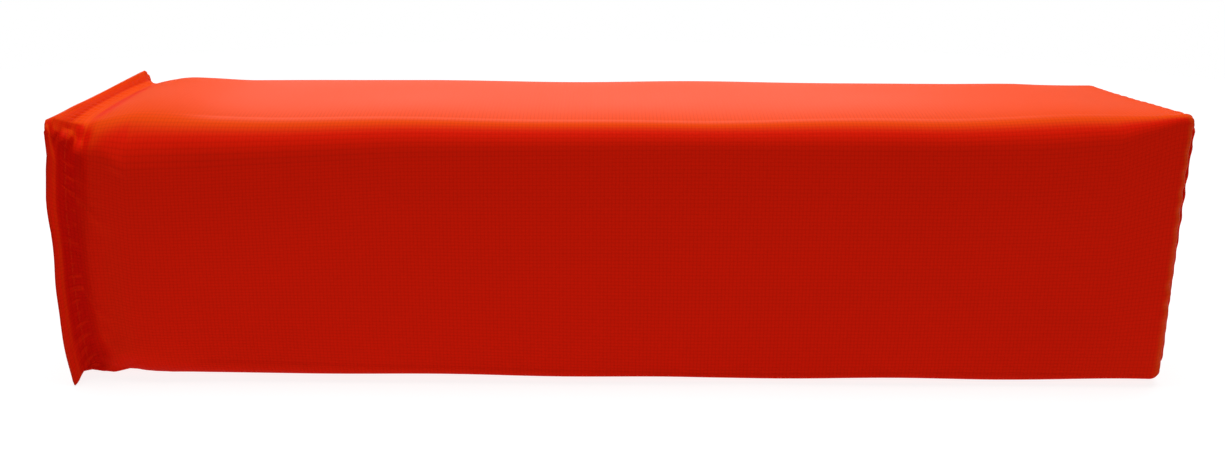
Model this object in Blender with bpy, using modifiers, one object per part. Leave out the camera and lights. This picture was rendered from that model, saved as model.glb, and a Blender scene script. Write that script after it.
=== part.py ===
"""Football end zone pylon, lying on one of its four sides.

X runs along the pylon, with the base that it stands on in use at -X and the top
at +X. Z is up, and the origin is on the floor under the middle of the pylon.
Every piece of the cover is a sheet that follows one profile round a rounded
square section, so the pieces are lofts between sections of unlike size.
"""

import math

import bpy
from mathutils import Matrix

# The pylon as a whole, in metres
overall_length = 0.457  # furthest edge of the base flange to outer face of the top
body_side = 0.109  # across the middle of two opposite faces
edge_radius = 0.010  # the four long edges
face_crown = 0.0012  # how far a face swells in its middle
floor_flat = 0.0005  # how deep the crown is pressed flat where the pylon lies

# What the pieces are made of
sheet_thickness = 0.0006  # coated cover fabric
bag_thickness = 0.0005  # woven cloth of the ballast bag
thread_diameter = 0.0005  # bonded nylon sewing thread
touch_gap = 0.0003  # left between pieces that touch
cut_overrun = 0.0020  # how far a cutter reaches past the face that it opens

# Sewn flange round the base
flange_width = 0.0110
flange_lean = math.radians(45)  # away from the pylon's axis
neck_draw = 0.0040  # how far the seam pulls the cover in
base_bulge = 0.0095  # how far the base panel swells out past the seam
neck_radius = 0.0080  # corners of the section at the seam
shoulder_length = 0.0275  # over which the cover swells back to full size
shoulder_power = 2.5
rim_bow = 0.0026  # how far the flange bows out between its corners
rim_bow_power = 2.5
base_stitch_share = 0.35  # place of the stitches, from the seam to the flange's edge
base_border = 0.0125  # rounded border between the seam and the base panel's flat

# Turned seam round the top
top_round = 0.0050  # cover's edge into the top
top_hem = 0.0080  # width of the turned-in edges
top_panel_overhang = 0.0020  # panel's fold past the start of the hem
top_stitch_inset = 0.0015  # stitches, from the start of the hem
hem_corner_radius = 0.0010

# Lap seam along the back face
lap_inset = 0.0083  # from the lower end of the face's flat to the lap's lower edge
lap_width = 0.0140
lap_stitch_inset = 0.0035  # each row, from the free edge next to it
lap_joggle = 0.0030  # length of the step where the under ply comes up
lap_edge_clearance = 0.0005
lap_thread_end = 0.0060  # threads stop short of the end seams by this

# Foam
foam_hem_clearance = 0.0020
foam_neck_clearance = 0.0015  # from the seam to where the foam fills the cover
plug_rim = 0.0025  # straight sides of the plug
foam_wall = 0.0083  # round the ballast's pocket

# Ballast in the base
bag_depth = 0.0600
bag_flange = 0.0050
bag_round = 0.0100
bag_corner_radius = 0.0080
bag_stitch_share = 0.5  # across the bag's flange

# How finely round shapes are divided
cover_flange_shares = (1, 0.5, 0)  # rings on the flange, from its edge to its seam
panel_flange_shares = (1, 0.5, 0.15)  # the panel folds away a little before the seam
flat_steps = 4
corner_steps = 4
shoulder_steps = 5
round_steps = 3
body_steps = 4
thread_resolution = 1
sharp_angle = math.radians(35)
shoulder_spacing_power = 1.5  # crowds the shoulder's rings towards the seam

top_x = overall_length / 2
body_half = body_side / 2
axis_height = body_half - floor_flat
neck_half = body_half - neck_draw
pressed_share = min((axis_height - neck_half) / flange_width, 1)
pressed_lean = min(math.asin(pressed_share), flange_lean)  # edge down on the floor
ply = sheet_thickness + touch_gap
panel_depth = sheet_thickness + ply  # the base panel's outer face, under the cover's
flange_reach = flange_width * math.cos(pressed_lean) + panel_depth * math.sin(pressed_lean)
neck_x = rim_bow + flange_reach - overall_length / 2
shoulder_x = neck_x + shoulder_length
base_x = neck_x - base_bulge
thread_stand = touch_gap + thread_diameter / 2  # thread's middle above its ply
thread_room = touch_gap + thread_diameter

# The top is a stack: panel, thread, panel's hem, cover's hem
panel_fold = 2 * sheet_thickness + thread_room + touch_gap
hem_x = top_x - panel_fold - touch_gap
hem_start = body_half - top_round
hem_end = hem_start - top_hem
top_run_x = hem_x - top_round
top_radius = max(edge_radius - top_round, hem_corner_radius)
base_flat_half = neck_half - base_border

# The lap, as shares of half the back face's flat
body_flat_half = body_half - face_crown - edge_radius
lap_low_share = lap_inset / body_flat_half - 1
lap_high_share = lap_low_share + lap_width / body_flat_half
joggle_start_share = lap_high_share + lap_edge_clearance / body_flat_half
joggle_share = lap_joggle / body_flat_half
joggle_end_share = joggle_start_share + joggle_share

# Foam and ballast
plug_side_x = neck_x + foam_neck_clearance
plug_end_x = plug_side_x + plug_rim
core_start_x = plug_end_x + touch_gap
step_x = hem_x - 2 * ply - thread_room  # the core's step under the top's hems
lap_recess = ply + thread_room
pocket_half = body_half - ply - foam_wall
bag_half = pocket_half - touch_gap - bag_flange
bag_middle_x = core_start_x + bag_depth / 2

SIDES = ((1, 0), (0, 1), (-1, 0), (0, -1))  # outward (y, z) of each side, in order
BACK, TOP, FRONT, BOTTOM = range(len(SIDES))
QUARTER_TURN = math.pi / 2


def shares(steps):
    """Evenly spaced numbers from 0 to 1."""
    return [step / steps for step in range(steps + 1)]


def smooth(share):
    """Eases from 0 to 1, and holds outside that range."""
    share = min(max(share, 0), 1)
    return share * share * (3 - 2 * share)


class Station:
    """One ring of a loft: its place along X, its section, and how to go inwards.

    inward is the step (x, radial) that takes a point one unit deeper into the
    pylon, square to the profile. bow is how much of the rim's bow the ring takes.
    """

    def __init__(self, x, half, radius, crown=0, inward=(0, -1), bow=0):
        self.x, self.half, self.radius = x, half, radius
        self.crown, self.inward, self.bow = crown, inward, bow

    def deeper(self, depth):
        """The same ring on a surface that lies deeper in the pylon."""
        radial = depth * self.inward[1]
        return Station(
            self.x + depth * self.inward[0],
            self.half + radial,
            max(self.radius + radial, hem_corner_radius),
            self.crown,
            self.inward,
            self.bow,
        )


def with_normals(stations, facing):
    """Sets each station's inward step from its neighbours, so that corners mitre.

    facing is 1 where the profile's inner side lies to the right of its run in the
    (x, radial) plane, and -1 where it lies to the left.
    """
    runs = []
    for first, second in zip(stations, stations[1:]):
        dx, dr = second.x - first.x, second.half - first.half
        length = math.hypot(dx, dr)
        runs.append((facing * dr / length, -facing * dx / length))
    for index, station in enumerate(stations):
        near = runs[max(index - 1, 0)]
        far = runs[min(index, len(runs) - 1)]
        share = 1 + near[0] * far[0] + near[1] * far[1]
        station.inward = ((near[0] + far[0]) / share, (near[1] + far[1]) / share)
    return stations


def flat_mark(side, share, extra=0):
    """A place on one side's flat, from -1 to 1 along it, lying extra deeper."""
    return (side, share, None, extra)


def corner_mark(side, turn):
    """A place on the corner that follows a side, as an angle."""
    return (side, None, turn, 0)


def corner_marks(side):
    steps = shares(corner_steps)[1:-1]
    return [corner_mark(side, share * QUARTER_TURN) for share in steps]


def flat_shares():
    return [2 * share - 1 for share in shares(flat_steps)]


def side_marks(side, after=-2):
    """A side's flat marks past a share, and its corner's marks."""
    flat = [flat_mark(side, share) for share in flat_shares() if share > after]
    return flat + corner_marks(side)


def walk_past_back():
    """Marks over the top, the front and the bottom."""
    return [mark for side in (TOP, FRONT, BOTTOM) for mark in side_marks(side)]


def plain_walk():
    """Marks once round the section."""
    return side_marks(BACK) + walk_past_back()


def wrap_walk():
    """Marks from the under ply's free edge, once round, to the upper ply's free edge."""
    marks = [flat_mark(BACK, share, ply) for share in (lap_low_share, joggle_start_share)]
    marks.append(flat_mark(BACK, joggle_end_share))
    marks += side_marks(BACK, joggle_end_share) + walk_past_back()
    marks += [flat_mark(BACK, share) for share in (-1, lap_low_share, lap_high_share)]
    return marks


def lapped_walk(extra, margin):
    """Marks once round for a surface that goes deeper by extra under the lap."""
    low = lap_low_share - (lap_edge_clearance + margin) / body_flat_half
    high = joggle_end_share + margin / body_flat_half
    marks = [flat_mark(BACK, -1), flat_mark(BACK, low - joggle_share)]
    marks += [flat_mark(BACK, low, extra), flat_mark(BACK, high, extra)]
    marks.append(flat_mark(BACK, high + joggle_share))
    return marks + side_marks(BACK, high + 2 * joggle_share) + walk_past_back()


def flush(mark):
    """The same place, without the mark's extra depth."""
    side, share, turn, _ = mark
    return (side, share, turn, 0)


def press(mark):
    """How hard the floor presses the flange at a mark, from 0 to 1.

    It is pressed all along the bottom, and straightens up round the two corners there.
    """
    side, _, turn, _ = mark
    past = 0 if turn is None else turn / QUARTER_TURN
    if side == BOTTOM:
        return 1 - smooth(past)
    return smooth(past) if side == FRONT else 0


def across(columns):
    """Turns columns of points that run along the pylon into rings round it."""
    return list(zip(*columns))


def place(mark, station, depth=0):
    """The point of a mark on a station's ring, kept at least depth above the floor."""
    side, share, turn, extra = mark
    ring = station.deeper(extra)
    ny, nz = SIDES[side]
    ty, tz = -nz, ny
    corner = ring.half - ring.crown
    straight = corner - ring.radius
    if turn is None:
        out = corner + ring.crown * (1 - share * share)
        along = share * straight
        bow = 1 - abs(share) ** rim_bow_power
    else:
        out = straight + ring.radius * math.cos(turn)
        along = straight + ring.radius * math.sin(turn)
        bow = 0
    y = ny * out + ty * along
    z = nz * out + tz * along + axis_height
    return (ring.x - bow * rim_bow * ring.bow, y, max(z, depth + extra))


def material(name, colour, roughness):
    made = bpy.data.materials.new(name)
    made.use_nodes = True
    shader = made.node_tree.nodes["Principled BSDF"]
    shader.inputs["Base Color"].default_value = (*colour, 1)
    shader.inputs["Roughness"].default_value = roughness
    shader.inputs["Metallic"].default_value = 0
    return made


def add_object(name, data, surface, collection):
    made = bpy.data.objects.new(name, data)
    made.data.materials.append(surface)
    collection.objects.link(made)
    return made


def loft(name, rings, collection, surface, cyclic=True, flip=False, caps=()):
    """A mesh through rings of points. caps names the ends to close: first, last.

    Every quad is cut along the same diagonal, so that two plies twist alike.
    """
    count = len(rings[0])
    points = [point for ring in rings for point in ring]
    faces = []
    for row in range(len(rings) - 1):
        for column in range(count if cyclic else count - 1):
            after = (column + 1) % count
            start, end = row * count, (row + 1) * count
            low, high = start + column, end + after
            for face in ((low, start + after, high), (low, high, end + column)):
                faces.append(face[::-1] if flip else face)
    first = tuple(range(count))[::-1]
    last = tuple(range((len(rings) - 1) * count, len(rings) * count))
    if "first" in caps:
        faces.append(first[::-1] if flip else first)
    if "last" in caps:
        faces.append(last[::-1] if flip else last)
    mesh = bpy.data.meshes.new(name)
    mesh.from_pydata(points, [], faces)
    mesh.shade_smooth()
    mesh.set_sharp_from_angle(angle=sharp_angle)
    return add_object(name, mesh, surface, collection)


def thicken(made, thickness):
    """Gives an open sheet its thickness, on the side away from its normals."""
    solid = made.modifiers.new("thickness", "SOLIDIFY")
    solid.thickness = thickness
    solid.offset = -1
    solid.use_even_offset = True
    solid.use_quality_normals = True
    return made


def thread(name, points, collection, surface, cyclic):
    """A sewing thread as a thin tube through points."""
    curve = bpy.data.curves.new(name, "CURVE")
    curve.dimensions = "3D"
    curve.bevel_depth = thread_diameter / 2
    curve.bevel_resolution = thread_resolution
    curve.use_fill_caps = not cyclic
    spline = curve.splines.new("POLY")
    spline.points.add(len(points) - 1)
    for spot, point in zip(spline.points, points):
        spot.co = (*point, 1)
    spline.use_cyclic_u = cyclic
    return add_object(name, curve, surface, collection)


def body_station(x):
    """The cover's outer section anywhere from the base seam to the top's rounding."""
    share = min(max((x - neck_x) / shoulder_length, 0), 1)
    half = body_half - neck_draw * (1 - share) ** shoulder_power
    swell = smooth(share)
    radius = neck_radius + (edge_radius - neck_radius) * swell
    return Station(x, half, radius, face_crown * swell, bow=1 - swell)


def flange_station(share, pressed):
    """The cover's outer face on the base flange, from its seam to its edge."""
    lean = flange_lean + (pressed_lean - flange_lean) * pressed
    run = share * flange_width
    rise = run * math.sin(lean)
    inward = (-math.sin(lean), -math.cos(lean))
    x = neck_x - run * math.cos(lean)
    return Station(x, neck_half + rise, neck_radius + rise, 0, inward, 1)


def top_round_station(turn):
    """The cover's outer face where it rounds into the top, by angle."""
    inset = top_round * (1 - math.cos(turn))
    radius = max(edge_radius - inset, hem_corner_radius)
    x = top_run_x + top_round * math.sin(turn)
    inward = (-math.sin(turn), -math.cos(turn))
    return Station(x, body_half - inset, radius, face_crown * math.cos(turn), inward)


def cover_stations(pressed):
    """The cover's outer profile, from the flange's edge to the hem in the top."""
    stations = [flange_station(share, pressed) for share in cover_flange_shares]
    swell = [share**shoulder_spacing_power for share in shares(shoulder_steps)[1:]]
    stations += [body_station(neck_x + share * shoulder_length) for share in swell]
    run = top_run_x - shoulder_x
    stations += [body_station(shoulder_x + s * run) for s in shares(body_steps)[1:]]
    turns = [share * QUARTER_TURN for share in shares(round_steps)[1:]]
    stations += [top_round_station(turn) for turn in turns]
    stations.append(Station(hem_x, hem_end, hem_corner_radius))
    return with_normals(stations, 1)


def base_panel_stations(pressed):
    """The base panel's outer face, from the flange's edge to the flat square."""
    flange = [flange_station(share, pressed) for share in panel_flange_shares]
    stations = [ring.deeper(panel_depth) for ring in flange]
    seam = stations[-1]
    span = seam.half - base_flat_half
    for share in shares(round_steps)[1:]:
        rise = math.sin(share * QUARTER_TURN)
        stations.append(
            Station(
                seam.x + (base_x - seam.x) * rise,
                seam.half - span * share,
                seam.radius + (edge_radius - seam.radius) * share,
                bow=1 - smooth(share),
            )
        )
    return with_normals(stations, -1)


def top_panel_stations():
    """The top panel's outer face: the flat, the fold at its edge and the hem."""
    fold_radius = panel_fold / 2
    edge = hem_start + top_panel_overhang - fold_radius
    radius = top_radius + top_panel_overhang
    stations = [Station(top_x, hem_end, top_radius)]
    for share in shares(2 * round_steps):
        turn = share * 2 * QUARTER_TURN
        x = top_x - fold_radius * (1 - math.cos(turn))
        bulge = fold_radius * math.sin(turn)
        stations.append(Station(x, edge + bulge, radius + bulge))
    stations.append(Station(top_x - panel_fold, hem_end, hem_corner_radius))
    return with_normals(stations, 1)


def build_cover(collection, surface):
    columns = [[place(m, s) for s in cover_stations(press(m))] for m in wrap_walk()]
    wrap = loft("cover_wrap", across(columns), collection, surface, cyclic=False)
    thicken(wrap, sheet_thickness)

    columns = []
    for mark in lapped_walk(-ply, 0):
        stations = base_panel_stations(press(mark))
        on_flange = stations[: len(panel_flange_shares)]
        past_flange = stations[len(panel_flange_shares) :]
        column = [place(mark, station) for station in on_flange]
        columns.append(column + [place(flush(mark), s) for s in past_flange])
    rings = across(columns)
    base = loft("base_panel", rings, collection, surface, flip=True, caps=["last"])
    thicken(base, sheet_thickness)

    rings = [[place(m, s) for m in plain_walk()] for s in top_panel_stations()]
    top = loft("top_panel", rings, collection, surface, flip=True, caps=["first"])
    thicken(top, sheet_thickness)


def build_seam_threads(collection, surface):
    through = panel_depth + thread_stand
    for name, walk, depth in (
        ("base_seam_needle_thread", plain_walk(), -thread_stand),
        ("base_seam_bobbin_thread", lapped_walk(ply, 0), through),
    ):
        points = []
        for mark in walk:
            ring = flange_station(base_stitch_share, press(mark))
            points.append(place(mark, ring.deeper(depth)))
        thread(name, points, collection, surface, True)

    half = hem_start - top_stitch_inset
    past_sheet = sheet_thickness + thread_stand
    outer = Station(top_x - past_sheet, half, top_radius)
    inner = Station(hem_x - past_sheet, half, top_radius, 0, (-1, 0))
    points = [place(mark, inner) for mark in lapped_walk(ply, 0)]
    thread("top_seam_needle_thread", points, collection, surface, True)
    points = [place(mark, outer) for mark in plain_walk()]
    thread("top_seam_bobbin_thread", points, collection, surface, True)


def build_lap_threads(collection, surface):
    """Two rows along the back, each with a thread outside and one inside."""
    inset = lap_stitch_inset / body_flat_half
    start = neck_x + lap_thread_end
    end = top_run_x - lap_thread_end
    xs = [start + share * (shoulder_x - start) for share in shares(shoulder_steps)]
    stations = with_normals([body_station(x) for x in [*xs, end]], 1)
    under = sheet_thickness + ply + thread_stand
    rows = (("lower", lap_low_share + inset), ("upper", lap_high_share - inset))
    for row, share in rows:
        mark = flat_mark(BACK, share)
        points = [place(mark, s.deeper(-thread_stand)) for s in stations]
        thread(f"lap_seam_{row}_needle_thread", points, collection, surface, False)
        points = [place(mark, s.deeper(under)) for s in stations]
        thread(f"lap_seam_{row}_bobbin_thread", points, collection, surface, False)


def foam_side(x):
    """The foam's section under the cover, square to the pylon's axis."""
    outer = body_station(x)
    return Station(x, outer.half - ply, outer.radius - ply, outer.crown)


def build_foam(collection, surface, cutters):
    """The plug behind the base panel, and the core with the ballast's pocket."""
    walk = lapped_walk(lap_recess, touch_gap)
    plain = [flush(mark) for mark in walk]
    face = Station(base_x + ply, base_flat_half - ply, edge_radius)
    sides = [foam_side(plug_side_x), foam_side(plug_end_x)]
    rings = [[place(mark, face, ply) for mark in plain]]
    rings += [[place(mark, s, ply) for mark in walk] for s in sides]
    loft("foam_plug", rings, collection, surface, caps=["first", "last"])

    run = shoulder_x - core_start_x
    xs = [core_start_x + share * run for share in shares(shoulder_steps)]
    sides = [foam_side(x) for x in [*xs, top_run_x]]
    turn = math.asin((step_x - top_run_x) / (top_round - ply))
    shoulder = top_round_station(turn).deeper(ply)
    shoulder.inward = (0, -1)
    sides.append(shoulder)
    rings = [[place(mark, s, ply) for mark in walk] for s in sides]
    plateau = hem_end - foam_hem_clearance
    for x in (step_x, top_x - ply):
        ring = Station(x, plateau, top_radius)
        rings.append([place(mark, ring) for mark in plain])
    core = loft("foam_core", rings, collection, surface, caps=["first", "last"])
    add_pocket(core, surface, cutters)


def box(name, low_x, high_x, half, collection, surface):
    """A square block round the pylon's axis, from one place along X to another."""
    bpy.ops.mesh.primitive_cube_add(size=1)
    made = bpy.context.object
    made.name = name
    made.data.transform(Matrix.Diagonal((high_x - low_x, 2 * half, 2 * half, 1)))
    made.location = ((low_x + high_x) / 2, 0, axis_height)
    made.data.materials.append(surface)
    for holder in list(made.users_collection):
        holder.objects.unlink(made)
    collection.objects.link(made)
    return made


def add_pocket(core, surface, cutters):
    """Cuts the square pocket that holds the ballast bag into the core's base end."""
    deep = core_start_x + bag_depth + touch_gap
    mouth = core_start_x - cut_overrun
    pocket = box("pocket_cutter", mouth, deep, pocket_half, cutters, surface)
    pocket.hide_render = True
    pocket.display_type = "WIRE"
    cut = core.modifiers.new("pocket", "BOOLEAN")
    cut.operation = "DIFFERENCE"
    cut.object = pocket


def bag_half_stations(way):
    """One dished half of the bag, from its flange's edge to the flat of its end.

    way is 1 for the half that faces the top and -1 for the half that faces the base.
    """
    seam_x = bag_middle_x + way * (touch_gap / 2 + bag_thickness)
    stations = [
        Station(seam_x, bag_half + bag_flange, bag_corner_radius + bag_flange),
        Station(seam_x, bag_half, bag_corner_radius),
    ]
    for share in shares(round_steps):
        turn = share * QUARTER_TURN
        inset = bag_round * (1 - math.cos(turn))
        x = bag_middle_x + way * (bag_depth / 2 - bag_round * (1 - math.sin(turn)))
        radius = bag_corner_radius * (1 - share / 2)
        stations.append(Station(x, bag_half - inset, radius))
    return stations


def build_ballast(collection, cloth, sand, surface):
    """A square bag of two dished halves, sewn together round its middle."""
    for name, way in (("ballast_bag_base_half", -1), ("ballast_bag_top_half", 1)):
        stations = bag_half_stations(way)
        rings = [[place(mark, s) for mark in plain_walk()] for s in stations]
        half = loft(name, rings, collection, cloth, flip=way < 0, caps=["last"])
        thicken(half, bag_thickness)

    inset = bag_thickness + touch_gap
    low, high = core_start_x + inset, core_start_x + bag_depth - inset
    filling = box("ballast_sand", low, high, bag_half - inset, collection, sand)
    rounding = filling.modifiers.new("rounding", "BEVEL")
    rounding.width = bag_round
    rounding.segments = round_steps

    x = bag_middle_x + touch_gap / 2 + bag_thickness + thread_stand
    out = bag_flange * bag_stitch_share
    ring = Station(x, bag_half + out, bag_corner_radius + out)
    points = [place(mark, ring) for mark in plain_walk()]
    thread("ballast_bag_thread", points, collection, surface, True)


def add_collection(name):
    made = bpy.data.collections.new(name)
    bpy.context.scene.collection.children.link(made)
    return made


def main():
    for leftover in list(bpy.data.objects):
        bpy.data.objects.remove(leftover)
    pylon = add_collection("football_pylon")
    cutters = add_collection("cutters")
    orange_fabric = material("orange_fabric", (0.75, 0.045, 0.008), 0.5)
    orange_thread = material("orange_thread", (0.62, 0.035, 0.008), 0.6)
    pale_foam = material("pale_foam", (0.75, 0.72, 0.62), 0.95)
    bag_cloth = material("bag_cloth", (0.62, 0.60, 0.55), 0.9)
    dry_sand = material("dry_sand", (0.52, 0.42, 0.28), 0.95)
    build_cover(pylon, orange_fabric)
    build_seam_threads(pylon, orange_thread)
    build_lap_threads(pylon, orange_thread)
    build_foam(pylon, pale_foam, cutters)
    build_ballast(pylon, bag_cloth, dry_sand, orange_thread)


main()
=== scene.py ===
# %% [markdown]
# # A football end zone pylon in coated fabric
#
# The pylon is a soft square post that marks the corner of an end zone. A sewn cover
# of coated red-orange fabric is pulled tight over a foam core, and a bag of sand in
# its base keeps it standing. Here it lies on one side, base end to the left.
#
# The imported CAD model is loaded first, as a frame that nothing below moves. Each soft
# solid in it is then replaced by a piece of cloth, thread, foam or sand that has the
# same place and size, and the folds, seams and finish that the plain solid lacks.

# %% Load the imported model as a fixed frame
import math

import bpy
import numpy as np
from mathutils import Matrix, Vector


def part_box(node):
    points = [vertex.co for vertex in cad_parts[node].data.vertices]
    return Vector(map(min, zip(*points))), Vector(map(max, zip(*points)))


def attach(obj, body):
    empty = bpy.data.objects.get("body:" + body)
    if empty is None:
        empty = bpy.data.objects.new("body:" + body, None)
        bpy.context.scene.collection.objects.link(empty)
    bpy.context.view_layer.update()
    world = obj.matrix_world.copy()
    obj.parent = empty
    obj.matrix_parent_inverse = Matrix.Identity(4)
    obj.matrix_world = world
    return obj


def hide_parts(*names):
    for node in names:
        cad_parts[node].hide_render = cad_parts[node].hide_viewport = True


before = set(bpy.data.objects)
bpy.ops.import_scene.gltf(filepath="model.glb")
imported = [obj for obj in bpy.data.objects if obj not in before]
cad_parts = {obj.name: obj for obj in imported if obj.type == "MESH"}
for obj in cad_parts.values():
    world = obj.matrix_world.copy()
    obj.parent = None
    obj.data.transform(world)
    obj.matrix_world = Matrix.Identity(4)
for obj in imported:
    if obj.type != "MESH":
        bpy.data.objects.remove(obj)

scene = bpy.context.scene
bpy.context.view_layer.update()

# %% [markdown]
# ## The camera
#
# The photograph was taken from just above the pylon, square to its middle. Its lens
# and place come from fitting the pylon's known length and square section to the
# corners in the picture. A small roll stands for the base end, which is propped up a
# little by its sewn flange in the photograph, while the CAD model lies level.

# %% Place the camera
picture_width = 1225
focal_pixels = 1281
sensor_width = 36.0
camera_place = (-0.0062, -0.547, 0.2153)
camera_pitch = math.radians(16.68)
camera_yaw = math.radians(-0.53)
camera_roll = math.radians(0.53)

camera_data = bpy.data.cameras.new("camera")
camera_data.sensor_width = sensor_width
camera_data.lens = sensor_width * focal_pixels / picture_width
camera = bpy.data.objects.new("camera", camera_data)
tilt = Matrix.Rotation(math.pi / 2 - camera_pitch, 4, "X")
turn_left = Matrix.Rotation(camera_yaw, 4, "Z")
roll_over = Matrix.Rotation(camera_roll, 4, "Z")
camera.matrix_world = Matrix.Translation(camera_place) @ turn_left @ tilt @ roll_over
scene.collection.objects.link(camera)
scene.camera = camera
print("lens:", round(camera_data.lens, 2), "mm")

# %% [markdown]
# ## Finishes as sums
#
# A finish in Blender is a graph of nodes, and most of them only add, multiply or ease a
# mask. Each node could be made, set and linked on lines of its own, which hides what the
# mask is. Here a small class carries a node's output instead, and Python's signs make
# the Math nodes, so that every mask below reads as the sum it is.

# %% Shader nodes, written as plain sums
class Amount:
    """An output that changes over a surface, which plain sums can use."""

    def __init__(self, tree, socket):
        self.tree, self.socket = tree, socket

    def math(self, operation, *values):
        """A Math node on amounts or plain numbers."""
        node = self.tree.nodes.new("ShaderNodeMath")
        node.operation = operation
        for socket, value in zip(node.inputs, values):
            feed(self.tree, socket, value)
        return Amount(self.tree, node.outputs[0])

    def __add__(self, other):
        return self.math("ADD", self, other)

    def __sub__(self, other):
        return self.math("SUBTRACT", self, other)

    def __rsub__(self, other):
        return self.math("SUBTRACT", other, self)

    def __mul__(self, other):
        return self.math("MULTIPLY", self, other)

    def __truediv__(self, other):
        return self.math("DIVIDE", self, other)

    def __pow__(self, other):
        return self.math("POWER", self, other)

    def __abs__(self):
        return self.math("ABSOLUTE", self)

    def sine(self):
        return self.math("SINE", self)

    def larger(self, other):
        return self.math("MAXIMUM", self, other)

    def eased(self, zone):
        """0 before the zone, 1 after it, and smooth between."""
        node = add_node(self.tree, "MapRange", Value=self, From_Min=zone[0], From_Max=zone[1])
        node.interpolation_type = "SMOOTHSTEP"
        return Amount(self.tree, node.outputs["Result"])


def feed(tree, socket, value):
    """Links an amount or an output into a socket, or sets a plain value there."""
    if isinstance(value, Amount):
        value = value.socket
    if isinstance(value, bpy.types.NodeSocket):
        tree.links.new(value, socket)
    else:
        socket.default_value = value


def add_node(tree, kind, group=None, **inputs):
    """A shader node with its named inputs fed. An underscore stands for a space."""
    node = tree.nodes.new("ShaderNode" + kind)
    if group:
        node.node_tree = group
    for label, value in inputs.items():
        feed(tree, node.inputs[label.replace("_", " ")], value)
    return node


print("signs that make Math nodes: + - * / ** abs")

# %% [markdown]
# ## The studio
#
# A white sweep under one large soft lamp, as for a catalogue picture, with a weak fill lamp in
# front. The lamp hangs over the pylon, so its top is bright. The side facing the camera is lit
# mostly by the floor, which throws light back and also glows a little, as a light table would. The
# view transform is Standard, and the lamp is set so that a colour facing it renders about as it is
# written.
#
# The floor is white diffuse paper with a glow of its own to all light, which lights the pylon from
# below. What the camera sees of it is lifted further to the white of the background, so the pylon
# still stands on a soft shadow.
# It lies a little below the CAD model, because the padded body sags by that much.

# %% Light the studio
scene.view_settings.view_transform = "Standard"

pylon_middle = (0.0, 0.0, 0.055)
overhead_power = 13.5
fill_power = 1.2


def add_softbox(name, place, size, power):
    """A rectangular lamp that faces the pylon."""
    data = bpy.data.lights.new(name, "AREA")
    data.shape = "RECTANGLE"
    data.size, data.size_y = size
    data.energy = power
    lamp = bpy.data.objects.new(name, data)
    lamp.location = place
    away = Vector(place) - Vector(pylon_middle)
    lamp.rotation_mode = "QUATERNION"
    lamp.rotation_quaternion = away.to_track_quat("Z", "Y")
    scene.collection.objects.link(lamp)


add_softbox("overhead_softbox", (0.0, 0.12, 1.1), (1.3, 0.6), overhead_power)
add_softbox("front_fill", (-0.2, -1.6, 0.7), (1.2, 0.8), fill_power)

# %% Fill the world with white where it is seen, and with dim light elsewhere
world_dim = 0.16

world = bpy.data.worlds.new("studio")
world.use_nodes = True
scene.world = world
world_tree = world.node_tree
ray = add_node(world_tree, "LightPath").outputs
seen = Amount(world_tree, ray["Is Camera Ray"]).larger(ray["Is Transmission Ray"])
seen = seen.larger(ray["Is Glossy Ray"])
strength = add_node(world_tree, "MapRange", Value=seen, To_Min=world_dim, To_Max=1.0)
background = world_tree.nodes["Background"]
background.inputs["Color"].default_value = (1.0, 1.0, 1.0, 1.0)
feed(world_tree, background.inputs["Strength"], strength.outputs["Result"])
print("world: white to the eye,", world_dim, "to diffuse light")

# %% Lay the white floor
floor_level = -0.0017
floor_half = 0.9
floor_colour = (0.55, 0.55, 0.55, 1.0)
# The floor's own glow to all light, which lights the pylon from below like a lamp.
floor_glow = 0.42
seen_floor_colour = (0.26, 0.26, 0.26, 1.0)
floor_lift = 0.86


def floor_material():
    """White paper that glows and so lights the pylon from below. To the camera, part of its white
    is its own, and part is lit.
    """
    made = bpy.data.materials.new("studio_floor")
    made.use_nodes = True
    tree = made.node_tree
    tree.nodes.clear()
    is_seen = add_node(tree, "LightPath").outputs["Is Camera Ray"]
    pick = add_node(tree, "MixShader", Fac=is_seen)
    papers = ((floor_colour, floor_glow), (seen_floor_colour, floor_lift))
    for slot, (colour, own_light) in enumerate(papers, start=1):
        paper = add_node(tree, "AddShader")
        feed(tree, paper.inputs[0], add_node(tree, "BsdfDiffuse", Color=colour).outputs[0])
        feed(tree, paper.inputs[1], add_node(tree, "Emission", Strength=own_light).outputs[0])
        feed(tree, pick.inputs[slot], paper.outputs[0])
    add_node(tree, "OutputMaterial", Surface=pick.outputs[0])
    return made


bpy.ops.mesh.primitive_circle_add(vertices=96, radius=floor_half, fill_type="NGON")
floor = bpy.context.object
floor.name = "studio_floor"
floor.location.z = floor_level
floor.data.materials.append(floor_material())
print("floor radius:", floor_half)

# %% [markdown]
# ## Finishes that repeat: node groups
#
# The cover's fabric is a polyester weave under a smooth coating, so the weave shows as a fine
# square grid. The ballast bag is woven as well, only finer and uncoated. One node group makes
# both: it takes a place on the cloth in metres and the grid's two pitches, and puts out a height
# for the bump and a mask of the hollows between the threads. For the cover, the place comes from a
# UV layer in metres that each cloth carries, so the weave follows the cloth round every fold, as a
# print on the real fabric would. The bag takes its place from its object coordinates.

# %% Node group: a woven grid
def new_group(name, inputs, outputs):
    """A shader node group: its tree, its inputs as amounts by name, and its end node.

    inputs gives each one's plain value, or None for a place.
    """
    group = bpy.data.node_groups.new(name, "ShaderNodeTree")
    for label, value in inputs.items():
        kind = "NodeSocketVector" if value is None else "NodeSocketFloat"
        socket = group.interface.new_socket(name=label, in_out="INPUT", socket_type=kind)
        if value is not None:
            socket.default_value = value
    for label in outputs:
        group.interface.new_socket(name=label, in_out="OUTPUT", socket_type="NodeSocketFloat")
    start = group.nodes.new("NodeGroupInput")
    given = {label: Amount(group, start.outputs[label]) for label in inputs}
    return group, given, group.nodes.new("NodeGroupOutput")


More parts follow.
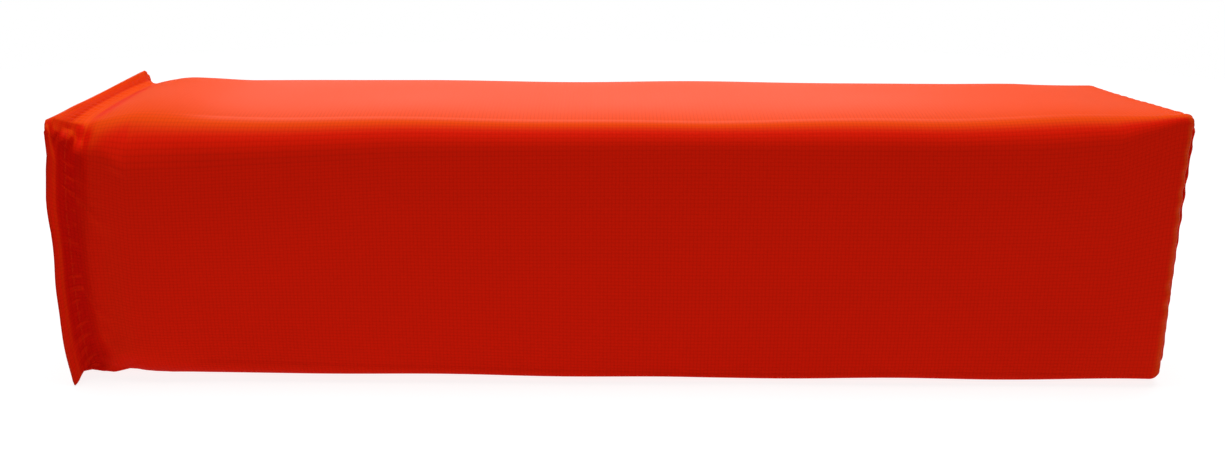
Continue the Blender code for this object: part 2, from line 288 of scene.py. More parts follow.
def split(tree, value, kind="XYZ"):
    """The three parts of a place, or of a colour, as amounts."""
    node = tree.nodes.new("ShaderNodeSeparate" + kind)
    feed(tree, node.inputs[0], value)
    return [Amount(tree, node.outputs[index]) for index in range(3)]


grid_pitch_round = 0.0014
grid_pitch_along = 0.0015
grid_unevenness = 0.00015
drift_scale = 60.0


def woven_grid_group():
    """Raised squares in rows and columns, with the thread spacing a little uneven."""
    pitches = {"Pitch Round": grid_pitch_round, "Pitch Along": grid_pitch_along}
    inputs = {"Place": None, **pitches, "Unevenness": grid_unevenness}
    group, given, end = new_group("woven_grid", inputs, ("Height", "Hollow"))
    drift = add_node(group, "TexNoise", Vector=given["Place"], Scale=drift_scale, Detail=3.0)
    shifts = split(group, drift.outputs["Color"], "Color")
    ridges = []
    for axis, shift, pitch in zip(split(group, given["Place"]), shifts, pitches):
        spot = (axis + (shift - 0.5) * given["Unevenness"]) / given[pitch]
        ridges.append(abs((spot * math.pi).sine()))
    height = (ridges[0] * ridges[1]) ** 0.5
    feed(group, end.inputs["Height"], height)
    feed(group, end.inputs["Hollow"], (1.0 - height) ** 2.0)
    return group


woven_grid = woven_grid_group()
print("group:", woven_grid.name, [s.name for s in woven_grid.interface.items_tree])

# %% [markdown]
# Coated fabric, thread, foam and bag cloth all age in the same way: patches lose a little
# brightness where they were handled, and small scuffs stay on what was laid on the grass. A second
# group makes that wear from the object's own coordinates, as two masks that the cover, foam and
# bag cloth use at their own strengths; the thread does not use it.

# %% Node group: handling wear
scuff_zone = (0.60, 0.78)


def handling_wear_group():
    """Large soft patches, and sparse small scuffs, as masks from 0 to 1."""
    inputs = {"Place": None, "Patch Scale": 14.0, "Scuff Scale": 160.0}
    group, given, end = new_group("handling_wear", inputs, ("Patches", "Scuffs"))
    patches = add_node(
        group, "TexNoise", Vector=given["Place"], Scale=given["Patch Scale"], Detail=4.0
    )
    spots = add_node(
        group, "TexNoise", Vector=given["Place"], Scale=given["Scuff Scale"], Detail=5.0,
        Roughness=0.7,
    )
    sharpened = add_node(
        group, "MapRange", Value=spots.outputs["Fac"],
        From_Min=scuff_zone[0], From_Max=scuff_zone[1],
    )
    feed(group, end.inputs["Patches"], patches.outputs["Fac"])
    feed(group, end.inputs["Scuffs"], sharpened.outputs["Result"])
    return group


handling_wear = handling_wear_group()
print("group:", handling_wear.name)

# %% [markdown]
# ## The coated cover fabric
#
# The cover is a saturated red-orange with hardly any mirror reflection where it faces the camera,
# so the specular level is very low. Where the cloth faces up to the overhead lamp, the lamp's haze
# on the coating is painted into the colour as a sheen. This sheen goes through a clear orange to a
# pale one as the cloth turns away from the eye, so the top is pale orange where it is seen at a
# low angle. The flange's rim gets a little of it as a painted highlight. The valley and groove
# beside the base seam are painted darker as shade. The weave is mostly bump, with slightly darker
# hollows painted as shade between the threads, and a slightly rougher ridge.

# %% Material: coated cover fabric
CLOTH_UV = "cloth"
cover_colour = (0.79, 0.0122, 0.0018)
# Painted sheen: the colours of the overhead lamp's haze on the coating, seen at a slant and at a
# low angle.
cover_slant_sheen_colour = (0.81, 0.062, 0.0030)
cover_low_sheen_colour = (0.94, 0.118, 0.058)
# Painted shade: the colour of the valley and groove beside the base seam, and how much of it each
# takes.
cover_valley_shade_colour = (0.56, 0.0015, 0.0008)
valley_shade_share = 0.68
groove_shade_share = 0.42
# Shares of the painted sheen kept on the sides, on the flange's rim as a painted highlight, on the
# flange, and where the top end turns.
base_sheen_share = 0.2
rim_highlight_share = 0.3
flange_sheen_share = 0.80
end_sheen_share = 0.7
hollow_shade = 0.78
hollow_weight = 0.8
fade_weight = 0.3
hollow_roughness = 0.46
ridge_extra_roughness = 0.08
cover_specular = 0.01
grid_depth = 0.00005

# The masks below place the painted sheen and the painted shade.
# Where each mask rises. These follow the direction in which the cloth faces,
lit_zone = (-0.45, 0.0)
top_face_zone = (0.05, 0.5)
side_face_zone = (0.0, 0.25)
end_face_zone = (-0.1, 0.5)
turned_zone = (0.15, 0.45)
# these how far it turns away from the eye,
slant_zone = (0.12, 0.48)
low_angle_zone = (0.40, 0.83)
# and these the distance along the cloth from the base seam, in metres.
base_zone = (0.0, 0.075)
top_zone = (0.27, 0.47)
rim_zone = (-0.0095, -0.0075)
under_rim_zone = (-0.0082, -0.0066)
groove_end_zone = (-0.0042, -0.0018)
flange_end_zone = (-0.0045, 0.0010)
seam_zone = (-0.0005, 0.0015)
valley_end_zone = (-0.0020, 0.0065)


def shader_material(name, roughness):
    """A new material, with its tree and its Principled shader."""
    made = bpy.data.materials.new(name)
    made.use_nodes = True
    shader = made.node_tree.nodes["Principled BSDF"]
    shader.inputs["Roughness"].default_value = roughness
    return made, made.node_tree, shader


def finish_material(made, shader, colour, height, depth):
    """Feeds a colour, and a height as bump of a depth in metres, into the shader."""
    tree = made.node_tree
    feed(tree, shader.inputs["Base Color"], colour)
    bump = add_node(tree, "Bump", Distance=depth, Height=height)
    feed(tree, shader.inputs["Normal"], bump.outputs["Normal"])
    return made


def mix_colour(tree, factor, first, second):
    """Mixes two colours, each an output or a plain colour, by a mask."""
    node = tree.nodes.new("ShaderNodeMix")
    node.data_type = "RGBA"
    feed(tree, node.inputs[0], factor)
    for socket, value in ((node.inputs[6], first), (node.inputs[7], second)):
        feed(tree, socket, (*value, 1.0) if isinstance(value, tuple) else value)
    return node.outputs[2]


def object_place(tree):
    return add_node(tree, "TexCoord").outputs["Object"]


def cloth_place(tree):
    """The place on the flat cloth, in metres."""
    node = add_node(tree, "UVMap")
    node.uv_map = CLOTH_UV
    return node.outputs["UV"]


def cover_sheen_and_shade_colour(tree, where):
    """The cover's colour with painted light: sheen by how it faces, and shade by the folds and
    seams along it.
    """
    facing = Amount(tree, add_node(tree, "LayerWeight").outputs["Facing"])
    lean, _, rise = split(tree, add_node(tree, "TexCoord").outputs["Normal"])
    along = split(tree, where)[1]
    # Painted sheen: only on cloth that faces up towards the overhead lamp, and paler the more the
    # cloth turns from the eye.
    lit = rise.eased(lit_zone)
    to_top = along.eased(top_zone)
    on_top = rise.eased(top_face_zone)
    on_side = 1.0 - rise.eased(side_face_zone)

    # How much painted sheen each part keeps: some on the sides, more where the top end turns and
    # on the flange's rim as a painted highlight, less on the flange.
    aside = lean.eased(end_face_zone) * to_top * (end_sheen_share - base_sheen_share)
    aside = aside + base_sheen_share + (1.0 - along.eased(rim_zone)) * rim_highlight_share
    off_flange = along.eased(flange_end_zone) * (1 - flange_sheen_share)
    kept = on_top.larger(aside) * (off_flange + flange_sheen_share)
    turned = abs(lean).eased(turned_zone) * (along.eased(seam_zone) - to_top)
    slant_sheen = facing.eased(slant_zone) * lit * kept * (1.0 - turned)
    # Painted sheen: paler still where lit cloth of the body is seen at a low angle.
    low = facing.eased(low_angle_zone) * lit * (along.eased(base_zone) - to_top)

    # Painted shade: darker in the valley beside the base seam on the sides, and in the groove
    # under the rim on top.
    under_rim = along.eased(under_rim_zone)
    valley = (under_rim - along.eased(valley_end_zone)) * valley_shade_share
    groove = (under_rim - along.eased(groove_end_zone)) * groove_shade_share
    dark = valley * on_side + groove * on_top
    colour = mix_colour(tree, slant_sheen, cover_colour, cover_slant_sheen_colour)
    colour = mix_colour(tree, low, colour, cover_low_sheen_colour)
    return mix_colour(tree, dark, colour, cover_valley_shade_colour)


def cover_fabric_material():
    made, tree, shader = shader_material("cover_fabric", 0.5)
    where = cloth_place(tree)
    colour = cover_sheen_and_shade_colour(tree, where)
    grid = add_node(
        tree, "Group", woven_grid, Place=where,
        Pitch_Round=grid_pitch_round, Pitch_Along=grid_pitch_along,
    )
    wear = add_node(tree, "Group", handling_wear, Place=object_place(tree))
    # Painted shade in the weave's hollows, with real wear in the handled patches, darkens the
    # colour.
    hollow_shade_and_wear = Amount(tree, grid.outputs["Hollow"]) * hollow_weight
    hollow_shade_and_wear = hollow_shade_and_wear + (Amount(tree, wear.outputs["Patches"]) - 0.5) * fade_weight
    shaded = add_node(tree, "MapRange", Value=hollow_shade_and_wear, To_Min=1.0, To_Max=hollow_shade)
    darker = tree.nodes.new("ShaderNodeVectorMath")
    darker.operation = "SCALE"
    feed(tree, darker.inputs[0], colour)
    feed(tree, darker.inputs["Scale"], shaded.outputs["Result"])

    height = Amount(tree, grid.outputs["Height"])
    rough = height * ridge_extra_roughness + hollow_roughness
    feed(tree, shader.inputs["Roughness"], rough)
    shader.inputs["Specular IOR Level"].default_value = cover_specular
    return finish_material(made, shader, darker.outputs["Vector"], height, grid_depth)


cover_fabric = cover_fabric_material()
print("material:", cover_fabric.name, len(cover_fabric.node_tree.nodes), "nodes")

# %% [markdown]
# ## The other finishes
#
# The seams are sewn in bonded thread in the cover's own colour. Its three plies show
# as a fine slanting twist. Inside are the pale foam, whose open cells catch the light,
# the undyed cloth of the ballast bag, and the sand that fills it.

# %% Materials: thread, foam, bag cloth and sand
thread_colour = (0.74, 0.0200, 0.0030)
thread_dark_colour = (0.58, 0.0100, 0.0015)
foam_colour = (0.75, 0.72, 0.62)
foam_dark_colour = (0.55, 0.50, 0.40)
bag_colour = (0.62, 0.60, 0.55)
bag_dark_colour = (0.45, 0.43, 0.38)
sand_colour = (0.52, 0.42, 0.28)
sand_dark_colour = (0.30, 0.22, 0.13)

twist_rate = 9000.0
foam_cell_scale = 900.0
sand_grain_scale = 1600.0
bag_pitch = 0.0006
thread_depth = 0.00005
foam_depth = 0.0004
bag_depth = 0.0001
sand_depth = 0.0004


def seam_thread_material():
    made, tree, shader = shader_material("seam_thread", 0.55)
    x, y, z = split(tree, object_place(tree))
    twist = (((x + y + z) * twist_rate).sine() + 1.0) * 0.5
    shader.inputs["Specular IOR Level"].default_value = 0.02
    colour = mix_colour(tree, twist, thread_dark_colour, thread_colour)
    return finish_material(made, shader, colour, twist, thread_depth)


def foam_material():
    made, tree, shader = shader_material("foam", 0.95)
    where = object_place(tree)
    cells = add_node(tree, "TexVoronoi", Vector=where, Scale=foam_cell_scale)
    pits = Amount(tree, cells.outputs["Distance"])
    wear = add_node(tree, "Group", handling_wear, Place=where, Patch_Scale=9.0)
    dark = Amount(tree, wear.outputs["Patches"]) * 0.5 + pits * 0.5
    colour = mix_colour(tree, dark, foam_colour, foam_dark_colour)
    return finish_material(made, shader, colour, pits, foam_depth)


def bag_cloth_material():
    made, tree, shader = shader_material("bag_cloth", 0.9)
    where = object_place(tree)
    grid = add_node(
        tree, "Group", woven_grid, Place=where,
        Pitch_Round=bag_pitch, Pitch_Along=bag_pitch, Unevenness=0.0002,
    )
    wear = add_node(tree, "Group", handling_wear, Place=where, Patch_Scale=30.0)
    # Painted shade in the weave's hollows, with real scuffs, darkens the bag cloth.
    dark = Amount(tree, wear.outputs["Scuffs"]) * 0.5 + grid.outputs["Hollow"]
    colour = mix_colour(tree, dark, bag_colour, bag_dark_colour)
    return finish_material(made, shader, colour, grid.outputs["Height"], bag_depth)


def sand_material():
    made, tree, shader = shader_material("sand", 0.95)
    grains = add_node(tree, "TexVoronoi", Vector=object_place(tree), Scale=sand_grain_scale)
    tint = split(tree, grains.outputs["Color"], "Color")[0]
    colour = mix_colour(tree, tint, sand_colour, sand_dark_colour)
    return finish_material(made, shader, colour, grains.outputs["Distance"], sand_depth)


seam_thread = seam_thread_material()
foam = foam_material()
bag_cloth = bag_cloth_material()
sand = sand_material()
print("materials:", [m.name for m in (seam_thread, foam, bag_cloth, sand)])

# %% [markdown]
# ## Sizes
#
# What can be read from the frame is read from it: the body's width, the height of its
# axis, and both ends. The rest are the sizes the cover was sewn to, which repeat the
# CAD model's own.

# %% Read the sizes from the frame
sheet_thickness = 0.0006
touch_gap = 0.0003
ply = sheet_thickness + touch_gap
panel_depth = sheet_thickness + ply
thread_radius = 0.00025

base_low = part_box("base_panel")[0]
top_low, top_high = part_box("top_panel")
core_low, core_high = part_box("foam_core")
body_half = core_high.y + ply
axis_height = (top_low.z + top_high.z) / 2
end_swell = 0.0014
base_edge_x, top_x = base_low.x, top_high.x + end_swell

edge_radius = 0.010
face_crown = 0.0012
cushion = 0.0010
crown_power = 4.0
flange_width = 0.0110
flange_lean = math.radians(45)
neck_draw = 0.0040
floor_draw_share = 0.4
flange_tip_level = 0.0032
rim_radius = 0.0035
neck_radius = 0.0100
base_bulge = 0.0095
shoulder_length = 0.0275
shoulder_power = 2.5
rim_bow = 0.0026
rim_bow_power = 2.5
base_border = 0.0125
top_round = 0.0050
top_hem = 0.0080
panel_fold = 0.0015
hem_corner_radius = 0.0010
stitch_pitch = 0.0050
base_stitch_share = 0.35

neck_half = body_half - neck_draw
pressed_lean = min(math.asin((axis_height - neck_half) / flange_width), flange_lean)
flange_reach = flange_width * math.cos(pressed_lean) + panel_depth * math.sin(pressed_lean)
neck_x = base_edge_x + rim_bow + flange_reach
base_x = neck_x - base_bulge
tip_rise = axis_height - neck_half - flange_tip_level
floor_lean = min(math.asin(tip_rise / flange_width), flange_lean)
hem_x = top_x - panel_fold - touch_gap
top_run_x = hem_x - top_round
body_run = top_run_x - neck_x
print("neck at", round(neck_x, 4), "body half", round(body_half, 4), "run", round(body_run, 4))

# %% [markdown]
# ## One section, many rings
#
# Every piece of this pylon follows a rounded square. A place round the section is a
# side, a share along that side's flat, and an angle round the corner that ends it. A
# place along the pylon is a distance from the base seam, measured on the cloth. With
# both as arrays, the whole cover is one grid of points worked out in a few lines, and
# the distances on the cloth are at hand for the weave's UV layer.

# %% Places round the section
BACK, TOP, FRONT, BOTTOM = range(4)
SIDE_NORMALS = np.array(((1.0, 0.0), (0.0, 1.0), (-1.0, 0.0), (0.0, -1.0)))
QUARTER_TURN = math.pi / 2
flat_run = 2 * (body_half - face_crown - edge_radius)
corner_run = edge_radius * QUARTER_TURN
side_run = flat_run + corner_run
round_run = 4 * side_run


def smooth(share):
    """Eases from 0 to 1, and holds outside that range."""
    share = np.clip(share, 0, 1)
    return share * share * (3 - 2 * share)


def bell(offset, width):
    """1 in the middle, falling away smoothly to both sides over about a width."""
    return np.exp(-((offset / width) ** 2))


class Columns:
    """Places round the section, as arrays, with what follows from each place."""

    def __init__(self, side, share, turn, extra=0.0, lap=0.0):
        self.side, self.share, self.turn = side, share, turn
        self.extra = extra + np.zeros(len(side))
        self.around = side * side_run + (share + 1) / 2 * flat_run + turn * edge_radius
        self.around = self.around + lap
        past = turn / QUARTER_TURN
        self.press = np.where(side == BOTTOM, 1 - smooth(past), 0.0)
        self.press = np.where(side == FRONT, smooth(past), self.press)
        from_corner = self.around - flat_run - corner_run / 2 + side_run / 2
        self.corner = from_corner % side_run - side_run / 2
        self.corner_index = np.floor(from_corner / side_run).astype(int) % 4
        angle = side * QUARTER_TURN + turn
        self.out = np.stack([np.zeros(len(angle)), np.cos(angle), np.sin(angle)], axis=-1)


def side_places(share, corner_steps, side):
    """The flat shares of one side, then the angles of the corner after it."""
    turn = np.linspace(0, QUARTER_TURN, corner_steps + 1)[1:-1]
    shares = np.concatenate([share, np.ones(len(turn))])
    turns = np.concatenate([np.zeros(len(share)), turn])
    return np.full(len(shares), side), shares, turns


def ring_columns(flat_steps, corner_steps):
    """Places once round, closing on themselves."""
    flat = np.linspace(-1, 1, flat_steps + 1)
    sides = [side_places(flat, corner_steps, side) for side in range(4)]
    return Columns(*(np.concatenate(part) for part in zip(*sides)))


cover_flat_steps = 80
cover_corner_steps = 12
ring = ring_columns(cover_flat_steps, cover_corner_steps)
print("columns round:", len(ring.side), "cloth round:", round(round_run, 4), "m")


# %% The cover's profile, from the flange's edge to the hem inside the top
def cover_profile(along, press):
    """Rings of the cover's outer face: x, half width, corner radius, crown and bow.

    along is the distance on the cloth from the base seam, and below zero on the flange.
    """
    flange = np.clip(-along, 0, None)
    lean = flange_lean + (floor_lean - flange_lean) * press
    share = np.clip(along / shoulder_length, 0, 1)
    swell = smooth(share)
    turned = np.clip((along - body_run) / top_round, 0, QUARTER_TURN)
    hem = np.clip(along - body_run - top_round * QUARTER_TURN, 0, None)
    inset = top_round * (1 - np.cos(turned)) + hem
    x = neck_x + np.clip(along, 0, body_run) - flange * np.cos(lean)
    x = x + top_round * np.sin(turned)
    rise = flange * np.sin(lean)
    draw = neck_draw * (1 + (floor_draw_share - 1) * press)
    full = swell * np.cos(turned)
    half = body_half + cushion * full - draw * (1 - share) ** shoulder_power + rise - inset
    radius = neck_radius + (edge_radius - neck_radius) * swell - inset
    radius = radius + (rim_radius - neck_radius) * flange / flange_width
    radius = np.maximum(radius, hem_corner_radius)
    return x, half, radius, (face_crown + cushion) * full, 1 - swell


valley_spread = 0.0042
valley_end = 0.0150


def soft_profile(along, press):
    """The same profile, with the crease at the base seam softened to a valley."""
    spread = valley_spread * smooth((valley_end - along) / valley_end)
    steps = np.linspace(-1, 1, 9)
    weights = np.exp(-2 * steps**2)
    weights = weights / weights.sum()
    profiles = [cover_profile(along + step * spread, press) for step in steps]
    return [sum(w * size for w, size in zip(weights, sizes)) for sizes in zip(*profiles)]


def place(columns, x, half, radius, crown=0.0, bow=0.0, corners=(1.0, 1.0)):
    """Points of rings. Every size broadcasts over rows of rings and columns round.

    corners scales the radius of the corner before each side, and of the one after it.
    """
    ny, nz = SIDE_NORMALS[columns.side].T
    before, after = (radius * scale for scale in corners)
    reach_before, reach_after = half - crown - before, half - crown - after
    along = (reach_before + reach_after) * (columns.share + 1) / 2 - reach_before
    along = along + after * np.sin(columns.turn)
    rounded = after * (1 - np.cos(columns.turn))
    out = half - crown - rounded + crown * (1 - np.abs(columns.share) ** crown_power)
    x = x - bow * rim_bow * (1 - np.abs(columns.share) ** rim_bow_power)
    y = ny * out - nz * along
    z = nz * out + ny * along + axis_height
    return np.stack(np.broadcast_arrays(x, y, z), axis=-1)


def ring_normals(points):
    """Outward unit normals of a closed grid of points, rows along and columns round."""
    across = np.roll(points, -1, axis=1) - np.roll(points, 1, axis=1)
    normals = np.cross(across, np.gradient(points, axis=0))
    return normals / np.maximum(np.linalg.norm(normals, axis=2, keepdims=True), 1e-12)


def above_floor(points, depth=0.0):
    """The same points, none of them lower than a depth of cloth above the floor."""
    points = points.copy()
    points[..., 2] = np.maximum(points[..., 2], floor_level + depth)
    return points


crease_ease = 0.002


def cover_normals(rows, columns):
    """The directions in which the cover faces, before any fold."""
    lean = flange_lean + (floor_lean - flange_lean) * columns.press
    tilt = lean * smooth((crease_ease - rows) / (2 * crease_ease))
    tilt = tilt + np.clip((rows - body_run) / top_round, 0, QUARTER_TURN)
    normals = np.cos(tilt)[..., None] * columns.out
    normals[..., 0] = np.sin(tilt)
    return normals


print("flange leans", round(math.degrees(floor_lean), 1), "degrees where it meets the floor")


# %% Uneven cloth: two seeded ways to make it
def ripples(around, pitch, seed, count=9, spread=0.22):
    """Puckers of about one pitch that close on themselves round the pylon."""
    random = np.random.default_rng(seed)
    middle = round_run / pitch
    total = np.zeros(np.shape(around))
    for turns in np.round(random.normal(middle, spread * middle, count)):
        phase = random.uniform(0, 2 * math.pi)
        total = total + np.sin(2 * math.pi * turns * around / round_run + phase)
    return total / math.sqrt(count / 2)


def swells(along, around, pitch, seed, count=14):
    """Slow hollows and swells over the whole cloth, with a spread of about 1."""
    random = np.random.default_rng(seed)
    total = np.zeros(np.broadcast_shapes(np.shape(along), np.shape(around)))
    for _ in range(count):
        turns = random.integers(1, round(round_run / pitch) + 1)
        rate = random.uniform(-1, 1) * 2 * math.pi / pitch
        phase = random.uniform(0, 2 * math.pi)
        wave = 2 * math.pi * turns * around / round_run + rate * along + phase
        total = total + np.sin(wave)
    return total / math.sqrt(count / 2)


print("ripples spread:", round(float(ripples(ring.around, 0.0055, 3).std()), 2))


# %% Meshes from grids
def grid_faces(rows, count, closed=True):
    """Quads over a grid of points, rows along and columns round, facing out."""
    start = np.arange(rows - 1)[:, None] * count
    column = np.arange(count if closed else count - 1)[None, :]
    after = (column + 1) % count
    corners = (start + column, start + after, start + count + after, start + count + column)
    return np.stack(np.broadcast_arrays(*corners), axis=-1).reshape(-1, 4).tolist()


def fan(first, count, hub):
    """Triangles from a closed row of points to one point in its middle."""
    return [[first + spot, first + (spot + 1) % count, hub] for spot in range(count)]


def smooth_mesh(name, vertices, faces):
    mesh = bpy.data.meshes.new(name)
    mesh.from_pydata(vertices.reshape(-1, 3).tolist(), [], faces)
    mesh.shade_smooth()
    return mesh


def add_piece(name, data, surface):
    """An object in the scene with its material."""
    made = bpy.data.objects.new(name, data)
    made.data.materials.append(surface)
    scene.collection.objects.link(made)
    return made


def add_cloth(name, points, places, surface, thickness, closed=True):
    """A sheet over a grid of points, thick on its inner side, with its UV layer in metres.

    A closed one goes round, and a fan of triangles fills its last row.
    """
    rows, count = points.shape[:2]
    faces = grid_faces(rows, count, closed)
    vertices, flat = points.reshape(-1, 3), places.reshape(-1, 2)
    if closed:
        faces += fan((rows - 1) * count, count, len(vertices))
        vertices = np.vstack([vertices, points[-1].mean(axis=0)])
        flat = np.vstack([flat, flat.mean(axis=0)])
    mesh = smooth_mesh(name, vertices, faces)
    corners = np.zeros(len(mesh.loops), np.int32)
    mesh.loops.foreach_get("vertex_index", corners)
    layer = mesh.uv_layers.new(name=CLOTH_UV)
    layer.uv.foreach_set("vector", flat[corners].astype(np.float32).ravel())
    piece = add_piece(name, mesh, surface)
    solid = piece.modifiers.new("thickness", "SOLIDIFY")
    solid.thickness = thickness
    solid.offset = -1.0
    return piece


print("cloth UV layer:", CLOTH_UV)

# %% [markdown]
# ## The base end: gathers made by a cloth simulation
#
# The cover is one straight tube, but its base seam is sewn to a smaller square, so the
# cloth next to the seam has more length than room, and it gathers. Such small folds
# could be drawn by hand. A cloth simulation finds them by itself: a ring of cloth
# starts on the drawn-in shape, its springs remember the wider shape that it was cut
# to, and both ends are pinned. Light pressure stands for the foam behind it.
#
# The simulation runs on a copy twenty times as large, because cloth settings suit
# things the size of clothes. Afterwards only the movement is kept, capped so that no
# fold reaches too far, and added to the cover's grid.

# %% Where the seam pulls the corners in
pinch_depth = 0.0022
pinch_width = 0.0042
pinch_reach = 0.0075


def corner_pinch(along, columns):
    """How far the seam draws the cloth in at each corner, as a vector towards the axis."""
    narrow = bell(columns.corner, pinch_width)
    pull = pinch_depth * narrow * np.exp(-np.abs(along) / pinch_reach)
    return pull[..., None] * -columns.out


# Stations along the body, and the share of its radius that each corner keeps there.
settle_stations = (0.0, 0.02, 0.05, 0.13, 0.25, 0.347, 0.386, 0.415, 0.436)
settled_shares = {
    BACK: (1.0, 0.9, 0.8, 0.75, 0.7, 0.7, 0.7, 0.6, 0.3),
    TOP: (1.2, 1.9, 1.8, 1.3, 1.1, 1.25, 1.35, 1.25, 0.5),
    FRONT: (0.7, 0.8, 0.8, 0.6, 0.3, 0.4, 0.40, 0.35, 0.30),
    BOTTOM: (0.7, 0.8, 0.8, 0.6, 0.3, 0.4, 0.5, 0.5, 0.4),
}
crest_drop = 0.0038
tip_lift = 0.0066
tip_reach = 0.0045
crest_bow_share = 0.22
rim_stations = (-1.0, -0.8, -0.45, -0.2, 0.05, 0.5, 0.8, 1.0)
rim_waves = (-0.0004, 0.0009, 0.0, 0.0005, 0.0001, -0.0006, -0.0006, -0.0003)


# How far each long edge lies above its place on the level CAD model.
base_lift_stations = (-0.0040, 0.0, 0.0045, 0.0110, 0.0140, 0.0180, 0.0220, 0.0290)
top_lift_stations = (0.13, 0.25, 0.347, 0.386, 0.415, 0.436, 0.446)
lift_stations = base_lift_stations + top_lift_stations
front_top_lifts = (
    0.0, 0.0, -0.0003, -0.0003, -0.0002, 0.0, 0.0002, 0.0005,
    0.0005, 0.0005, 0.0020, 0.0042, 0.0058, 0.0072, 0.0088,
)
front_bottom_lifts = (
    0.0, -0.0015, -0.0014, 0.0009, 0.0007, 0.0, -0.0005, -0.0009,
    -0.0008, -0.0010, -0.0009, -0.0007, -0.0006, -0.0004, -0.0002,
)
back_top_lifts = (
    0.0, 0.0012, 0.0004, 0.0009, 0.0011, 0.0012, 0.0007, -0.0003,
    0.0004, 0.0005, 0.0003, 0.0, -0.0004, -0.0008, -0.0008,
)
top_end_sag = 0.0027
top_end_sag_run = 0.045


def across_and_up(points):
    """Where points lie in the section, each way from -1 to 1."""
    across = np.clip(points[..., 1] / body_half, -1, 1)
    return across, np.clip((points[..., 2] - axis_height) / body_half, -1, 1)


def edge_lifts(rows, points):
    """Lifts of the section's points, shared out between its four long edges."""
    across, up = across_and_up(points)
    front_top = np.interp(rows, lift_stations, front_top_lifts)
    front_bottom = np.interp(rows, lift_stations, front_bottom_lifts)
    back_top = np.interp(rows, lift_stations, back_top_lifts)
    lift = (1 - across) * (1 + up) * front_top + (1 - across) * (1 - up) * front_bottom
    sag = top_end_sag * smooth((rows - body_run) / top_end_sag_run + 1)
    sag = sag * (1 - across**4) * np.clip(up, 0, 1) ** 4
    return (lift + (1 + across) * (1 + up) * back_top) / 4 - sag


end_ear = 0.0012
end_ear_run = 0.016


def end_ears(rows, points):
    """How far the corners of the top end stand out beyond the middle of its sides."""
    across, up = across_and_up(points)
    return end_ear * smooth((rows - body_run) / end_ear_run + 1) * np.abs(across * up) ** 3


def at_top_end(points):
    """Moves points of the plain top end to where its drawn-out corners lie."""
    points[..., 0] += end_ears(body_run, points)
    points[..., 2] += edge_lifts(body_run + top_round, points)
    return points


def corner_scales(rows, columns):
    """How much of its radius the corner before each column keeps, and the one after."""
    kept = [
        np.interp(rows, settle_stations, settled_shares[side]) for side in range(4)
    ]
    kept = np.concatenate(kept, axis=1)
    return kept[:, (columns.side - 1) % 4], kept[:, columns.side]


def rim_offsets(rows, columns):
    """The flange's own unevenness: its top edge sags, and its front edge waves."""
    share = np.clip(-rows, 0, None) / flange_width
    past = columns.turn / QUARTER_TURN
    at_corner = smooth((np.abs(columns.share) - 0.6) / 0.4) * (1 - crest_bow_share)
    crest = np.where((columns.side == FRONT) & (columns.share < 0), at_corner, 0.0)
    crest = np.where((columns.side == BACK) & (columns.share > 0), at_corner, crest)
    bowed = 1 + crest_bow_share * (1 - 2 * columns.share**4)
    crest = np.where(columns.side == TOP, bowed, crest)
    tip = bell(columns.corner, tip_reach) * (columns.corner_index == FRONT)
    front = np.where(columns.side == FRONT, np.interp(columns.share, rim_stations, rim_waves), 0.0)
    front = front * (1 - smooth(past))
    offsets = np.zeros((*np.broadcast_shapes(share.shape, front.shape), 3))
    offsets[..., 0] = share * front
    offsets[..., 2] = share**2 * (tip_lift * tip - crest_drop * crest)
    return offsets


def cover_shape(along, columns):
    """The cover's outer face without its folds, on rows along and columns round."""
    rows = np.asarray(along)[:, None]
    rings = soft_profile(rows, columns.press[None, :])
    points = place(columns, *rings, corners=corner_scales(rows, columns))
    points[..., 0] += end_ears(rows, points)
    points[..., 2] += edge_lifts(rows, points)
    points = points + corner_pinch(rows, columns) + rim_offsets(rows, columns)
    return above_floor(points)


gather_run = 0.0540
gather_steps = 48
gather_along = np.linspace(0, gather_run, gather_steps + 1)
gather_pitch = 0.0055
print("gathers reach", gather_run, "m from the seam")

# %% Let the ring of cloth settle
sim_scale = 20.0
sim_frames = 24
springs = {
    "quality": 7,
    "mass": 0.12,
    "air_damping": 2.0,
    "tension_stiffness": 30.0,
    "compression_stiffness": 30.0,
    "shear_stiffness": 12.0,
    "bending_stiffness": 0.6,
    "use_pressure": True,
    "uniform_pressure_force": 1.5,
}
fold_cap = 0.0022
crease_run = 0.0120
nudge_height = 0.0002
gather_reach = 0.006
nudge_start = 0.002
fade_start_share = 0.55


def settled(start, cut, held):
    """Runs the cloth from its start shape, and gives where its points come to rest."""
    mesh = smooth_mesh("gather_trial", start * sim_scale, grid_faces(*start.shape[:2]))
    trial = add_piece("gather_trial", mesh, cover_fabric)
    trial.shape_key_add(name="Basis")
    wide = trial.shape_key_add(name="cut")
    wide.data.foreach_set("co", (cut * sim_scale).astype(np.float32).ravel())
    pins = trial.vertex_groups.new(name="pins")
    pins.add(np.flatnonzero(held).tolist(), 1.0, "REPLACE")
    cloth = trial.modifiers.new("cloth", "CLOTH")
    for setting, value in springs.items():
        setattr(cloth.settings, setting, value)
    cloth.settings.vertex_group_mass = "pins"
    cloth.settings.rest_shape_key = wide
    cloth.settings.effector_weights.gravity = 0.0
    cloth.collision_settings.use_collision = False
    cloth.point_cache.frame_start = 1
    cloth.point_cache.frame_end = sim_frames
    for step in range(1, sim_frames + 1):
        scene.frame_set(step)
    found = trial.evaluated_get(bpy.context.evaluated_depsgraph_get())
    settled_points = np.zeros(len(found.data.vertices) * 3, np.float32)
    found.data.vertices.foreach_get("co", settled_points)
    bpy.data.objects.remove(trial)
    scene.frame_set(1)
    return settled_points.reshape(start.shape).astype(float) / sim_scale


